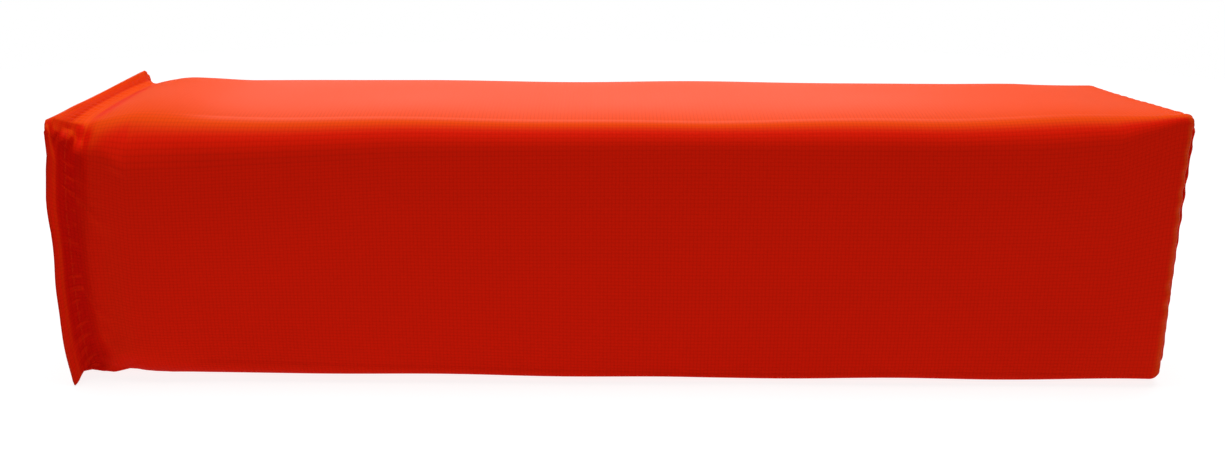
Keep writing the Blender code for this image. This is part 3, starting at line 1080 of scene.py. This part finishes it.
def gather_movement():
    """How each point of the ring of cloth moves, as vectors on rows and columns."""
    start = cover_shape(gather_along, ring)
    wide = place(ring, neck_x + gather_along[:, None], body_half, edge_radius, face_crown)
    nudge = nudge_height * ripples(ring.around, gather_pitch, seed=5)
    near = np.exp(-gather_along / gather_reach) * smooth(gather_along / nudge_start)
    begun = start + ring_normals(start) * (near[:, None] * nudge)[..., None]
    held = np.zeros(start.shape[:2])
    held[[0, -2, -1]] = 1.0
    moved = settled(begun, wide, held) - start
    length = np.linalg.norm(moved, axis=2, keepdims=True)
    moved = moved * np.minimum(1, fold_cap / np.maximum(length, 1e-9))
    past = gather_along / gather_run - fade_start_share
    fade = 1 - smooth(past / (1 - fade_start_share))
    fade = fade * smooth(gather_along / crease_run)
    return moved * fade[:, None, None]


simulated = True
gather_moves = gather_movement() if simulated else None
if simulated:
    print("gathers move the cloth by up to", float(np.abs(gather_moves).max()))

plain_gather = 0.0004
plain_gather_start = 0.0015


def gathers(along, columns):
    if gather_moves is None:
        reach = np.exp(-np.clip(along, 0, None) / gather_reach)
        reach = reach * smooth(along / plain_gather_start)
        fold = plain_gather * ripples(columns.around, gather_pitch, seed=5)
        return (reach[:, None] * fold)[..., None] * columns.out
    result = np.zeros((len(along), len(columns.side), 3))
    for row, distance in enumerate(along):
        if not 0 < distance < gather_run:
            continue
        at = distance / gather_run * gather_steps
        low = int(at)
        moves = gather_moves[low] * (1 - (at - low)) + gather_moves[low + 1] * (at - low)
        for axis in range(3):
            result[row, :, axis] = np.interp(
                columns.around, ring.around, moves[:, axis], period=round_run
            )
    return result


# %% [markdown]
# ## The cover's wrap
#
# One piece of fabric goes once round the four long sides and laps over itself on the
# back, where two rows of stitches close it. At the base its edge flares out as one ply
# of the sewn flange, and at the top it turns in under the end panel.
#
# The folds that no simulation gives are drawn as heights on the cloth: the flange's
# rolled ridge and stitched valley, the pinch at its corners, the slow unevenness of
# padded faces, and the corners that the top seam draws out into small ears.

# %% Heights of the sewn flange
ridge_height = 0.0013
ridge_middle_share = 0.90
ridge_width_share = 0.17
pressed_ridge_share = 0.4
flange_pucker = 0.00015
rim_wave = 0.0004
corner_groove = 0.0016
corner_groove_width = 0.0014
stitch_dimple = 0.0004
stitch_dimple_reach = 0.0012
stitch_count = round(round_run / stitch_pitch)
calm_reach = 0.006
rim_wave_pitch = 0.034
groove_shoulder = 0.0032
groove_shoulder_width = 0.0016


def flange_height(along, columns):
    """How far the flange stands out from its plain lean."""
    share = np.clip(-along, 0, None) / flange_width
    ridge = bell(share - ridge_middle_share, ridge_width_share)
    height = ridge_height * ridge * (1 - (1 - pressed_ridge_share) * columns.press)
    puckers = ripples(columns.around, gather_pitch, seed=5)
    calm = 1 - bell(columns.corner, calm_reach)
    height = height + flange_pucker * calm * puckers * np.exp(-share * 2.5)
    waves = ripples(columns.around, rim_wave_pitch, seed=11, count=6, spread=0.5)
    height = height + rim_wave * waves * share**1.5
    holes = np.cos(math.pi * stitch_count * columns.around / round_run) ** 8
    at_seam = bell(along + base_stitch_share * flange_width, stitch_dimple_reach)
    height = height - stitch_dimple * holes * at_seam
    groove = bell(columns.corner, corner_groove_width)
    shoulders = bell(np.abs(columns.corner) - groove_shoulder, groove_shoulder_width)
    fold = (0.5 * shoulders - groove) * (columns.corner_index != TOP)
    return height + corner_groove * fold * smooth(share * 4) * (1 - 0.8 * share)


# %% Single folds, read off the picture round the front top corner of the base
# Each has its place along, its place down from the front top edge, its half length and
# half width, its angle from straight along, and its height.
single_folds = (
    (0.0008, 0.0100, 0.0130, 0.0029, 88, -0.0018),
    (-0.0036, 0.0032, 0.0036, 0.0021, 98, 0.0021),
    (-0.0070, 0.0070, 0.0056, 0.0009, 106, -0.0014),
    (-0.0090, 0.0060, 0.0056, 0.0009, 82, -0.0015),
    (0.0170, 0.0075, 0.0050, 0.0022, 20, 0.0007),
    (0.0055, 0.0300, 0.0055, 0.0018, 42, 0.0006),
    (0.0010, 0.0250, 0.0050, 0.0020, 42, -0.0005),
    (0.0020, 0.0700, 0.0075, 0.0016, 47, 0.0005),
    (0.0010, 0.0940, 0.0070, 0.0050, 90, -0.0020),
)
front_top_edge = TOP * side_run + flat_run + corner_run / 2
roll_height = 0.0006
roll_place, roll_width = 0.0035, 0.0024
dip_place, dip_width = 0.0105, 0.0040
roll_start, roll_end, roll_fade = 0.030, 0.082, 0.012


def fold_height(along, columns):
    """How far the single folds, and the roll beside the front seam, stand out."""
    down = columns.around - front_top_edge
    roll = bell(along - roll_place, roll_width) - bell(along - dip_place, dip_width)
    on_front = smooth((down - roll_start) / roll_fade)
    on_front = on_front * (1 - smooth((down - roll_end) / roll_fade))
    height = roll_height * roll * on_front
    for at_along, at_down, length, width, angle, peak in single_folds:
        ahead, aside = along - at_along, down - at_down
        cos, sin = math.cos(math.radians(angle)), math.sin(math.radians(angle))
        run, off = ahead * cos + aside * sin, aside * cos - ahead * sin
        height = height + peak * bell(run, length) * bell(off, width)
    return height


# %% Heights of the padded body and of its top end
softness = 0.00028
softness_pitch = 0.09
ear_height = 0.0003
ear_reach = 0.0070
top_pucker = 0.00016
top_pucker_pitch = 0.0070
pucker_place, pucker_width = 0.004, 0.003
body_ease = 0.02
ear_width = 0.0065
body_end = body_run + top_round * QUARTER_TURN


def body_height(along, columns):
    """How far the body's cloth stands out from its plain shape."""
    inside = smooth(along / body_ease)
    height = softness * swells(along, columns.around, softness_pitch, seed=21) * inside
    to_end = np.clip(body_run + top_round - along, 0, None)
    near_end = np.exp(-to_end / ear_reach)
    height = height + ear_height * near_end * bell(columns.corner, ear_width)
    puckers = ripples(columns.around, top_pucker_pitch, seed=31)
    at_round = bell(along - body_run - pucker_place, pucker_width)
    height = height + top_pucker * puckers * at_round
    return height * (along < body_end)


def cover_surface(along, columns):
    """The cover's outer face with all its folds, and its normals."""
    rows = np.asarray(along)[:, None]
    points = cover_shape(along, columns) + gathers(along, columns)
    height = np.where(rows < 0, flange_height(rows, columns), body_height(rows, columns))
    height = height + fold_height(rows, columns)
    normals = cover_normals(rows, columns)
    return above_floor(points + normals * height[..., None]), normals


print("cover's cloth runs from", -flange_width, "to", round(body_end + top_hem, 4))

# %% The lap along the back
lap_inset = 0.0083
lap_width = 0.0140
lap_joggle = 0.0030
lap_edge_clearance = 0.0005
lap_low_share = 2 * lap_inset / flat_run - 1
lap_high_share = lap_low_share + 2 * lap_width / flat_run
joggle_start_share = lap_high_share + 2 * lap_edge_clearance / flat_run
joggle_share = 2 * lap_joggle / flat_run


wrap_flat_steps = 120
wrap_corner_steps = 18


def wrap_columns(flat_steps, corner_steps):
    """Places from the under ply's free edge, once round, to the upper ply's free edge."""
    flat = np.linspace(-1, 1, flat_steps + 1)
    under = np.concatenate([[lap_low_share], flat[flat > lap_low_share]])
    upper = np.concatenate([flat[flat < lap_high_share], [lap_high_share]])
    sides = [side_places(under, corner_steps, BACK)]
    sides += [side_places(flat, corner_steps, side) for side in (TOP, FRONT, BOTTOM)]
    sides.append((np.full(len(upper), BACK), upper, np.zeros(len(upper))))
    side, share, turn = (np.concatenate(part) for part in zip(*sides))
    first = np.arange(len(side)) < len(under)
    sunk = 1 - smooth((share - joggle_start_share) / joggle_share)
    lap = np.where(np.arange(len(side)) >= len(side) - len(upper), round_run, 0.0)
    return Columns(side, share, turn, np.where(first, ply * sunk, 0.0), lap)


wrap = wrap_columns(wrap_flat_steps, wrap_corner_steps)
print("lap covers shares", round(lap_low_share, 3), "to", round(lap_high_share, 3))

# %% Build the wrap
fine_end_run = 0.03
flange_along = -flange_width * np.linspace(1, 0, 21)[:-1]
base_along = np.linspace(0, gather_run, 66)
middle_along = np.linspace(gather_run, body_run - fine_end_run, 44)[1:]
top_along = np.linspace(body_run - fine_end_run, body_run, 25)[1:]
round_along = body_run + top_round * QUARTER_TURN * np.linspace(0, 1, 9)[1:]
hem_along = body_end + top_hem * np.linspace(0, 1, 4)[1:]
wrap_along = np.concatenate(
    [flange_along, base_along, middle_along, top_along, round_along, hem_along]
)

wrap_points, wrap_normals = cover_surface(wrap_along, wrap)
wrap_points = above_floor(wrap_points - wrap_normals * wrap.extra[None, :, None])
wrap_places = np.stack(np.broadcast_arrays(wrap.around, wrap_along[:, None]), axis=-1)
cover_wrap_cloth = add_cloth(
    "cover_wrap_cloth", wrap_points, wrap_places, cover_fabric, sheet_thickness, closed=False
)
print("wrap:", wrap_points.shape[:2], "points")

# %% [markdown]
# ## The end panels
#
# The base panel is the flange's other ply. It follows the wrap's folds there, one
# cloth and one gap behind, and then swells out over the ballast like the face of a
# cushion. The top panel lies flat, with its edge folded under all round. The turned
# seam behind it makes small lumps along the fold.

# %% Build the base panel
panel_place = 1.0
base_slack = 0.0005
base_slack_pitch = 0.05
base_pucker = 0.0004
base_flat_half = neck_half - base_border
face_shares = np.linspace(1, 0.02, 26)[1:, None]
roundest_share = 0.98
panel_seam_share = 0.12


def base_panel_points():
    """The panel's outer face: down the flange, over the swell, in to the middle."""
    along = -flange_width * np.linspace(1, panel_seam_share, 15)
    rows, normals = cover_surface(np.append(along, 0.0), ring)
    flange = above_floor(rows[:-1] - normals[:-1] * panel_depth, panel_depth)
    seam = flange[-1]
    share = np.linspace(0, 1, 15)[1:, None]
    half = neck_half - panel_depth - (neck_half - panel_depth - base_flat_half) * share
    radius = neck_radius + (edge_radius - neck_radius) * share
    plain = place(ring, base_x, half, radius)
    start = place(ring, neck_x, neck_half - panel_depth, neck_radius)
    swell = plain + (seam - start) * (1 - smooth(share))[..., None]
    swell[..., 0] = seam[:, 0] + (base_x - seam[:, 0]) * np.sin(share * QUARTER_TURN)
    inner_half = base_flat_half * face_shares
    face = place(ring, base_x, inner_half, np.minimum(edge_radius, inner_half * roundest_share))
    middle = np.vstack([swell, face])
    slack = swells(middle[..., 1], middle[..., 2], base_slack_pitch, seed=41)
    puckers = ripples(ring.around, gather_pitch, seed=5)
    row = np.arange(len(middle))[:, None]
    near = np.exp(-row / 5) * smooth(row / 2)
    middle[..., 0] += base_slack * slack * smooth(row / 12) + base_pucker * puckers * near
    return above_floor(np.vstack([flange, middle]), panel_depth)


base_points = base_panel_points()[:, ::-1]
base_panel_cloth = add_cloth(
    "base_panel_cloth", base_points, base_points[..., 1:] + panel_place, cover_fabric,
    sheet_thickness,
)
print("base panel:", base_points.shape[:2], "points")

# %% Build the top panel
fold_lump = 0.00014
fold_lump_pitch = 0.0075
panel_inset = 0.0055
end_corner_radii = {BACK: 0.0015, TOP: 0.0030, FRONT: 0.0045, BOTTOM: 0.0020}
top_crown = 0.0006
panel_slack = 0.00025
panel_slack_pitch = 0.04
fold_radius = panel_fold / 2
hem_start = body_half - top_round
hem_end = hem_start - top_hem
panel_edge = body_half - panel_inset - fold_radius


def end_place(x, half, extra=0.0):
    """Points of the panel's rings, with a corner radius of its own at each corner."""
    radii = np.array([end_corner_radii[side] for side in range(4)])
    corners = [
        np.minimum(radii[side] + extra, half * roundest_share)
        for side in ((ring.side - 1) % 4, ring.side)
    ]
    return at_top_end(place(ring, x, half, 1.0, corners=corners))


def top_panel_points():
    """The panel from the end of its hem, round the fold, and in to its middle."""
    angle = np.linspace(math.pi, 0, 13)[:, None]
    lumps = ripples(ring.around, fold_lump_pitch, seed=51)
    bulge = fold_radius * np.sin(angle) * (1 + 0.2 * lumps)
    edge = panel_edge + fold_lump * lumps
    fold = end_place(top_x - fold_radius * (1 - np.cos(angle)), edge + bulge, bulge)
    hem = end_place(np.array([[top_x - panel_fold]]), hem_end + np.zeros((1, 1)))
    face = end_place(top_x + 0 * face_shares, panel_edge * face_shares)
    reach = np.maximum(np.abs(face[..., 1]), np.abs(face[..., 2] - axis_height))
    middle = 1 - (reach / panel_edge) ** 2
    uneven = swells(face[..., 1], face[..., 2], panel_slack_pitch, seed=61)
    face[..., 0] += middle * (top_crown + panel_slack * uneven)
    return np.vstack([hem, fold, face])


top_points = top_panel_points()
top_panel_cloth = add_cloth(
    "top_panel_cloth", top_points, top_points[..., 1:] + panel_place, cover_fabric,
    sheet_thickness,
)
print("top panel:", top_points.shape[:2], "points")

# %% [markdown]
# ## The stitches
#
# A lockstitch is two threads that lock inside the cloth: the needle thread lies on one
# side, dips into every hole and comes up again, and the bobbin thread does the same
# from the other side. Each is one curve with a bevel, whose points ride on the cloth's
# own grid, so the stitches follow every pucker.

# %% A thread that dips into its holes
stitch_points = 6
lying_share = 0.6
sunk_share = 0.5


def stitched_line(path, normals, side, closed, run=None):
    """Points of a thread along a path on the cloth, dipping at every stitch hole.

    run is the distance along the path on the flat cloth, if that spaces the stitches.
    """
    if closed:
        path = np.vstack([path, path[:1]])
        normals = np.vstack([normals, normals[:1]])
    if run is None:
        steps = np.linalg.norm(np.diff(path, axis=0), axis=1)
        run = np.concatenate([[0], np.cumsum(steps)])
    stitches = round(run[-1] / stitch_pitch)
    count = stitches * stitch_points
    at = np.arange(count + (0 if closed else 1)) / count * run[-1]
    phase = np.arange(len(at)) % stitch_points / stitch_points
    spots = np.stack([np.interp(at, run, path[:, axis]) for axis in range(3)], axis=1)
    outs = np.stack([np.interp(at, run, normals[:, axis]) for axis in range(3)], axis=1)
    lying = -thread_radius * lying_share
    sunk = -(sheet_thickness * sunk_share + thread_radius)
    lift = np.where(phase == 0, sunk, lying)
    return spots + outs * (side * lift)[:, None]


threads = {}


def sew(name, line, out, side, closed=True, run=None):
    """Sews a thread along a line, as a bevelled curve, and keeps it by its CAD node."""
    points = stitched_line(line, out, side, closed, run)
    curve = bpy.data.curves.new(f"{name}_stitches", "CURVE")
    curve.dimensions = "3D"
    curve.bevel_depth = thread_radius
    curve.bevel_resolution = 2
    curve.use_fill_caps = not closed
    spline = curve.splines.new("POLY")
    spline.points.add(len(points) - 1)
    spline.points.foreach_set("co", np.hstack([points, np.ones((len(points), 1))]).ravel())
    spline.use_cyclic_u = closed
    threads[f"{name}_thread"] = add_piece(f"{name}_stitches", curve, seam_thread)


# %% Sew the base seam, the top seam and the lap
top_stitch_inset = 0.0022
lap_stitch_inset = 0.0035
lap_thread_end = 0.0060
sample_step_share = 0.02

stitch_shares = base_stitch_share + sample_step_share * np.array((1, 0, -1))
line, out = (part[1] for part in cover_surface(-flange_width * stitch_shares, ring))
once_round = np.append(ring.around, round_run)
sew("base_seam_needle", line, out, 1, run=once_round)
under = line - out * (panel_depth + sheet_thickness)
sew("base_seam_bobbin", under, out, -1, run=once_round)

stitch_half = hem_start - top_stitch_inset
stitch_radius = max(edge_radius - top_round, hem_corner_radius)
inner_x, outer_x = hem_x - sheet_thickness, top_x - panel_fold + sheet_thickness
for thread_name, x, side in (("needle", inner_x, 1), ("bobbin", outer_x, -1)):
    line = at_top_end(place(ring, x, stitch_half, stitch_radius))
    sew(f"top_seam_{thread_name}", line, np.tile((-1.0, 0.0, 0.0), (len(line), 1)), side)

thread_rows = (wrap_along > lap_thread_end) & (wrap_along < body_run - lap_thread_end)
upper_ply = np.flatnonzero((wrap.side == BACK) & (wrap.around >= round_run))
inset_share = 2 * lap_stitch_inset / flat_run
for row_name, share in (
    ("lower", lap_low_share + inset_share), ("upper", lap_high_share - inset_share),
):
    column = upper_ply[np.argmin(np.abs(wrap.share[upper_ply] - share))]
    line, out = wrap_points[thread_rows, column], wrap_normals[thread_rows, column]
    sew(f"lap_seam_{row_name}_needle", line, out, 1, False)
    under = line - out * (sheet_thickness + ply)
    sew(f"lap_seam_{row_name}_bobbin", under, out, -1, False)
print("threads:", list(threads))

# %% [markdown]
# ## The foam
#
# The core fills the cover and keeps it square. Its base end has a square pocket for
# the ballast, which a thinner foam plug closes. Both are cut from block foam: the
# edges are a little rounded, and the faces are slightly uneven from the knife.

# %% Build the foam core and its plug
plug_low, plug_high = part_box("foam_plug")
bag_base_low, bag_base_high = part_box("ballast_bag_base_half")
bag_top_low, bag_top_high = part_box("ballast_bag_top_half")
foam_wall = 0.0083
pocket_half = body_half - ply - foam_wall
pocket_end_x = bag_top_high.x + touch_gap
foam_ring = ring_columns(24, 6)
knife_mark = 0.0002
knife_pitch = 0.03
seam_clearance = 0.0016
seam_clearance_run = 0.025
foam_clearance = 0.0018
foam_sharp_angle = math.radians(50)


def add_foam(name, stations):
    """A closed foam solid through rings of (x, half width, corner radius, crown)."""
    runs = np.array([[station[0] - neck_x] for station in stations])
    kept = zip(*corner_scales(runs, foam_ring))
    points = np.stack([place(foam_ring, *s, corners=c) for s, c in zip(stations, kept)])
    outer = np.array([[station[1] > pocket_half + foam_wall / 2] for station in stations])
    points[..., 2] += outer * edge_lifts(runs, points)
    uneven = swells(points[..., 0], foam_ring.around[None, :], knife_pitch, seed=71)
    radial = points[..., 1:] - (0, axis_height)
    scale = 1 - knife_mark * (1 + np.clip(uneven, -1, 1)) / body_half
    points[..., 1:] = radial * scale[..., None] + (0, axis_height)
    points = above_floor(points, ply)
    rows, count = points.shape[:2]
    hub = rows * count
    faces = grid_faces(rows, count) + fan(hub - count, count, hub)
    faces += [[here, hub + 1, beyond] for here, beyond, _ in fan(0, count, hub)]
    ends = [points[-1].mean(axis=0), points[0].mean(axis=0)]
    mesh = smooth_mesh(name, np.vstack([points.reshape(-1, 3), ends]), faces)
    mesh.set_sharp_from_angle(angle=foam_sharp_angle)
    return add_piece(name, mesh, foam)


def under_cover(x):
    """The foam's ring under the cover's inner face at a place along the pylon."""
    x_now, half, radius, crown, _ = cover_profile(np.array(x - neck_x), 0.0)
    clear = ply + foam_clearance
    clear = clear + seam_clearance * float(1 - smooth((x - neck_x) / seam_clearance_run))
    return float(x_now), float(half) - clear, float(radius) - ply, float(crown)


def end_rings(x, half, radius, shares):
    """Rings that fill a flat end, at shares of its size."""
    return [(x, share * half, share * radius, 0) for share in shares]


# %% Cut the foam core
bevel = 0.0015
block_radius = 0.002
pocket_radius = 0.003
mouth_radius = 0.004
hem_clearance = 0.002
under_hem_run = 0.003
plateau_step = 0.0002
plateau = hem_end - hem_clearance
core_end = core_high.x + end_swell
under_hem_x = top_run_x + under_hem_run
edge_ring = under_cover(core_low.x)
core_stations = [
    *end_rings(pocket_end_x, pocket_half, block_radius, (0.02, 0.5, 0.97)),
    (pocket_end_x - bevel, pocket_half, pocket_radius, 0),
    *(
        (x, pocket_half, pocket_radius, 0)
        for x in np.linspace(pocket_end_x - 2 * bevel, core_low.x + bevel, 8)
    ),
    (core_low.x, pocket_half + bevel, mouth_radius, 0),
    (core_low.x, edge_ring[1] - bevel, edge_ring[2], 0),
    *(under_cover(x) for x in np.linspace(core_low.x + bevel, top_run_x, 60)),
    (under_hem_x, hem_start - ply, mouth_radius, 0),
    (under_hem_x + plateau_step, plateau, block_radius, 0),
    (core_end, plateau - bevel, block_radius, 0),
    *end_rings(core_end, plateau, block_radius, (0.6, 0.02)),
]
foam_block = add_foam("foam_core_block", core_stations)
print("core:", foam_block.name, len(core_stations), "rings")

# %% Cut the foam plug
plug_rim = 0.0025
plug_half = base_flat_half - ply
plug_stations = [
    *end_rings(plug_low.x, plug_half, edge_radius, (0.02, 0.6, 1)),
    *(under_cover(x) for x in np.linspace(plug_high.x - plug_rim, plug_high.x, 4)),
    *end_rings(plug_high.x, neck_half, neck_radius, (0.6, 0.02)),
]
foam_pad = add_foam("foam_plug_pad", plug_stations)
print("plug:", foam_pad.name, len(plug_stations), "rings")

# %% [markdown]
# ## The ballast
#
# Two dished halves of plain cloth are sewn together round their rims. The sand inside
# settles, so the faces of the bag are lumpy, and the cloth creases where it goes round
# the corners. All of it is out of sight in the pocket.

# %% Build the bag, its seam and the sand
bag_thickness = 0.0005
bag_flange = 0.0050
bag_round = 0.0100
bag_corner = 0.0080
bag_crease = 0.0004
sand_crease = 0.0006
bag_fold_pitch = 0.011
bag_lump_pitch = 0.035
bag_row_pitch = 0.008
sand_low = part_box("ballast_sand")[0]
bag_half = bag_base_high.y - bag_flange
bag_ring = ring_columns(32, 8)


def bag_rows(way, inset, rim):
    """One half of the bag as (x, half width, radius): rim, wall, round and face."""
    far = bag_top_high.x if way > 0 else bag_base_low.x
    seam_x = bag_top_low.x if way > 0 else bag_base_high.x
    depth = abs(far - seam_x) - bag_round
    rows = []
    for share in (1, 0.6, 0.2) if rim else ():
        rows.append((seam_x, bag_half + bag_flange * share, bag_corner + bag_flange * share))
    for share in (0.08, 0.4, 0.7, 1):
        rows.append((seam_x + way * depth * share, bag_half - inset, bag_corner))
    for turn in np.linspace(0, QUARTER_TURN, 7)[1:]:
        x = far - way * (inset + (bag_round - inset) * (1 - math.sin(turn)))
        half = bag_half - inset - (bag_round - inset) * (1 - math.cos(turn))
        rows.append((x, half, bag_corner))
    for share in (0.85, 0.65, 0.45, 0.25, 0.03):
        rows.append((far - way * inset, half * share, bag_corner * share))
    return rows


def bag_points(way, inset, rim, crease, seed):
    """One half of the bag, or of the sand in it, with its creases and lumps."""
    rows = bag_rows(way, inset, rim)
    points = np.stack([place(bag_ring, *row) for row in rows])
    row = np.arange(len(rows))[:, None]
    folds = ripples(bag_ring.around, bag_fold_pitch, seed=seed) * smooth((row - 2) / 3)
    lumps = swells(row * bag_row_pitch, bag_ring.around[None, :], bag_lump_pitch, seed=seed + 1)
    shrink = crease * (1.2 + 0.5 * np.clip(folds, -1, 1) + 0.5 * np.clip(lumps, -1, 1))
    shrink = shrink * smooth((row - (2 if rim else -1)) / 3)
    radial = points[..., 1:] - (0, axis_height)
    scale = 1 - shrink / np.maximum(np.linalg.norm(radial, axis=2), 0.01)
    points[..., 1:] = radial * scale[..., None] + (0, axis_height)
    points[..., 0] -= way * shrink
    return points


bag_pieces = []
for half_name, way, seed in (("base", -1, 81), ("top", 1, 91)):
    points = bag_points(way, 0.0, True, bag_crease, seed)[:, ::way]
    cloth_name = f"ballast_bag_{half_name}_cloth"
    bag_pieces.append(add_cloth(cloth_name, points, points[..., 1:], bag_cloth, bag_thickness))

rim_middle = bag_flange / 2
seam_face_x = bag_top_low.x + bag_thickness
line = place(bag_ring, seam_face_x, bag_half + rim_middle, bag_corner + rim_middle)
sew("ballast_bag", line, np.tile((1.0, 0.0, 0.0), (len(line), 1)), 1)

sand_inset = sand_low.x - bag_base_low.x + bag_crease
low_rows = bag_points(-1, sand_inset, False, sand_crease, 101)[::-1]
sand_grid = np.vstack([low_rows, bag_points(1, sand_inset, False, sand_crease, 111)])
rows, count = sand_grid.shape[:2]
last = (rows - 1) * count
sand_ends = [tuple(range(count))[::-1], tuple(range(last, last + count))]
sand_mesh = smooth_mesh("sand_filling", sand_grid, grid_faces(rows, count) + sand_ends)
sand_filling = add_piece("sand_filling", sand_mesh, sand)
print("bag pieces:", [piece.name for piece in bag_pieces], sand_filling.name)

# %% [markdown]
# ## What each piece is
#
# Every piece rides on the pylon's one body, and the CAD solid that it stands for is hidden. The
# list below pairs each piece with that solid and with the material slot that it takes its finish
# from. The flat sizes that the wrap and the base panel were cut to are worked out at the end.

pieces = [
    (cover_wrap_cloth, "cover_wrap", "cover_fabric"),
    (base_panel_cloth, "base_panel", "cover_fabric"),
    (top_panel_cloth, "top_panel", "cover_fabric"),
    (foam_block, "foam_core", "foam"),
    (foam_pad, "foam_plug", "foam"),
    (bag_pieces[0], "ballast_bag_base_half", "bag_cloth"),
    (bag_pieces[1], "ballast_bag_top_half", "bag_cloth"),
    (sand_filling, "ballast_sand", "sand"),
]
pieces += [(thread, node, "seam_thread") for node, thread in threads.items()]
for piece, node, slot in pieces:
    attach(piece, "root")
    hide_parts(node)

wrap_flat = (round_run + lap_width, flange_width + body_end + top_hem)
base_flat = 2 * (neck_half + flange_width)
print("pieces:", len(pieces), "wrap cut to", [round(s, 3) for s in wrap_flat])
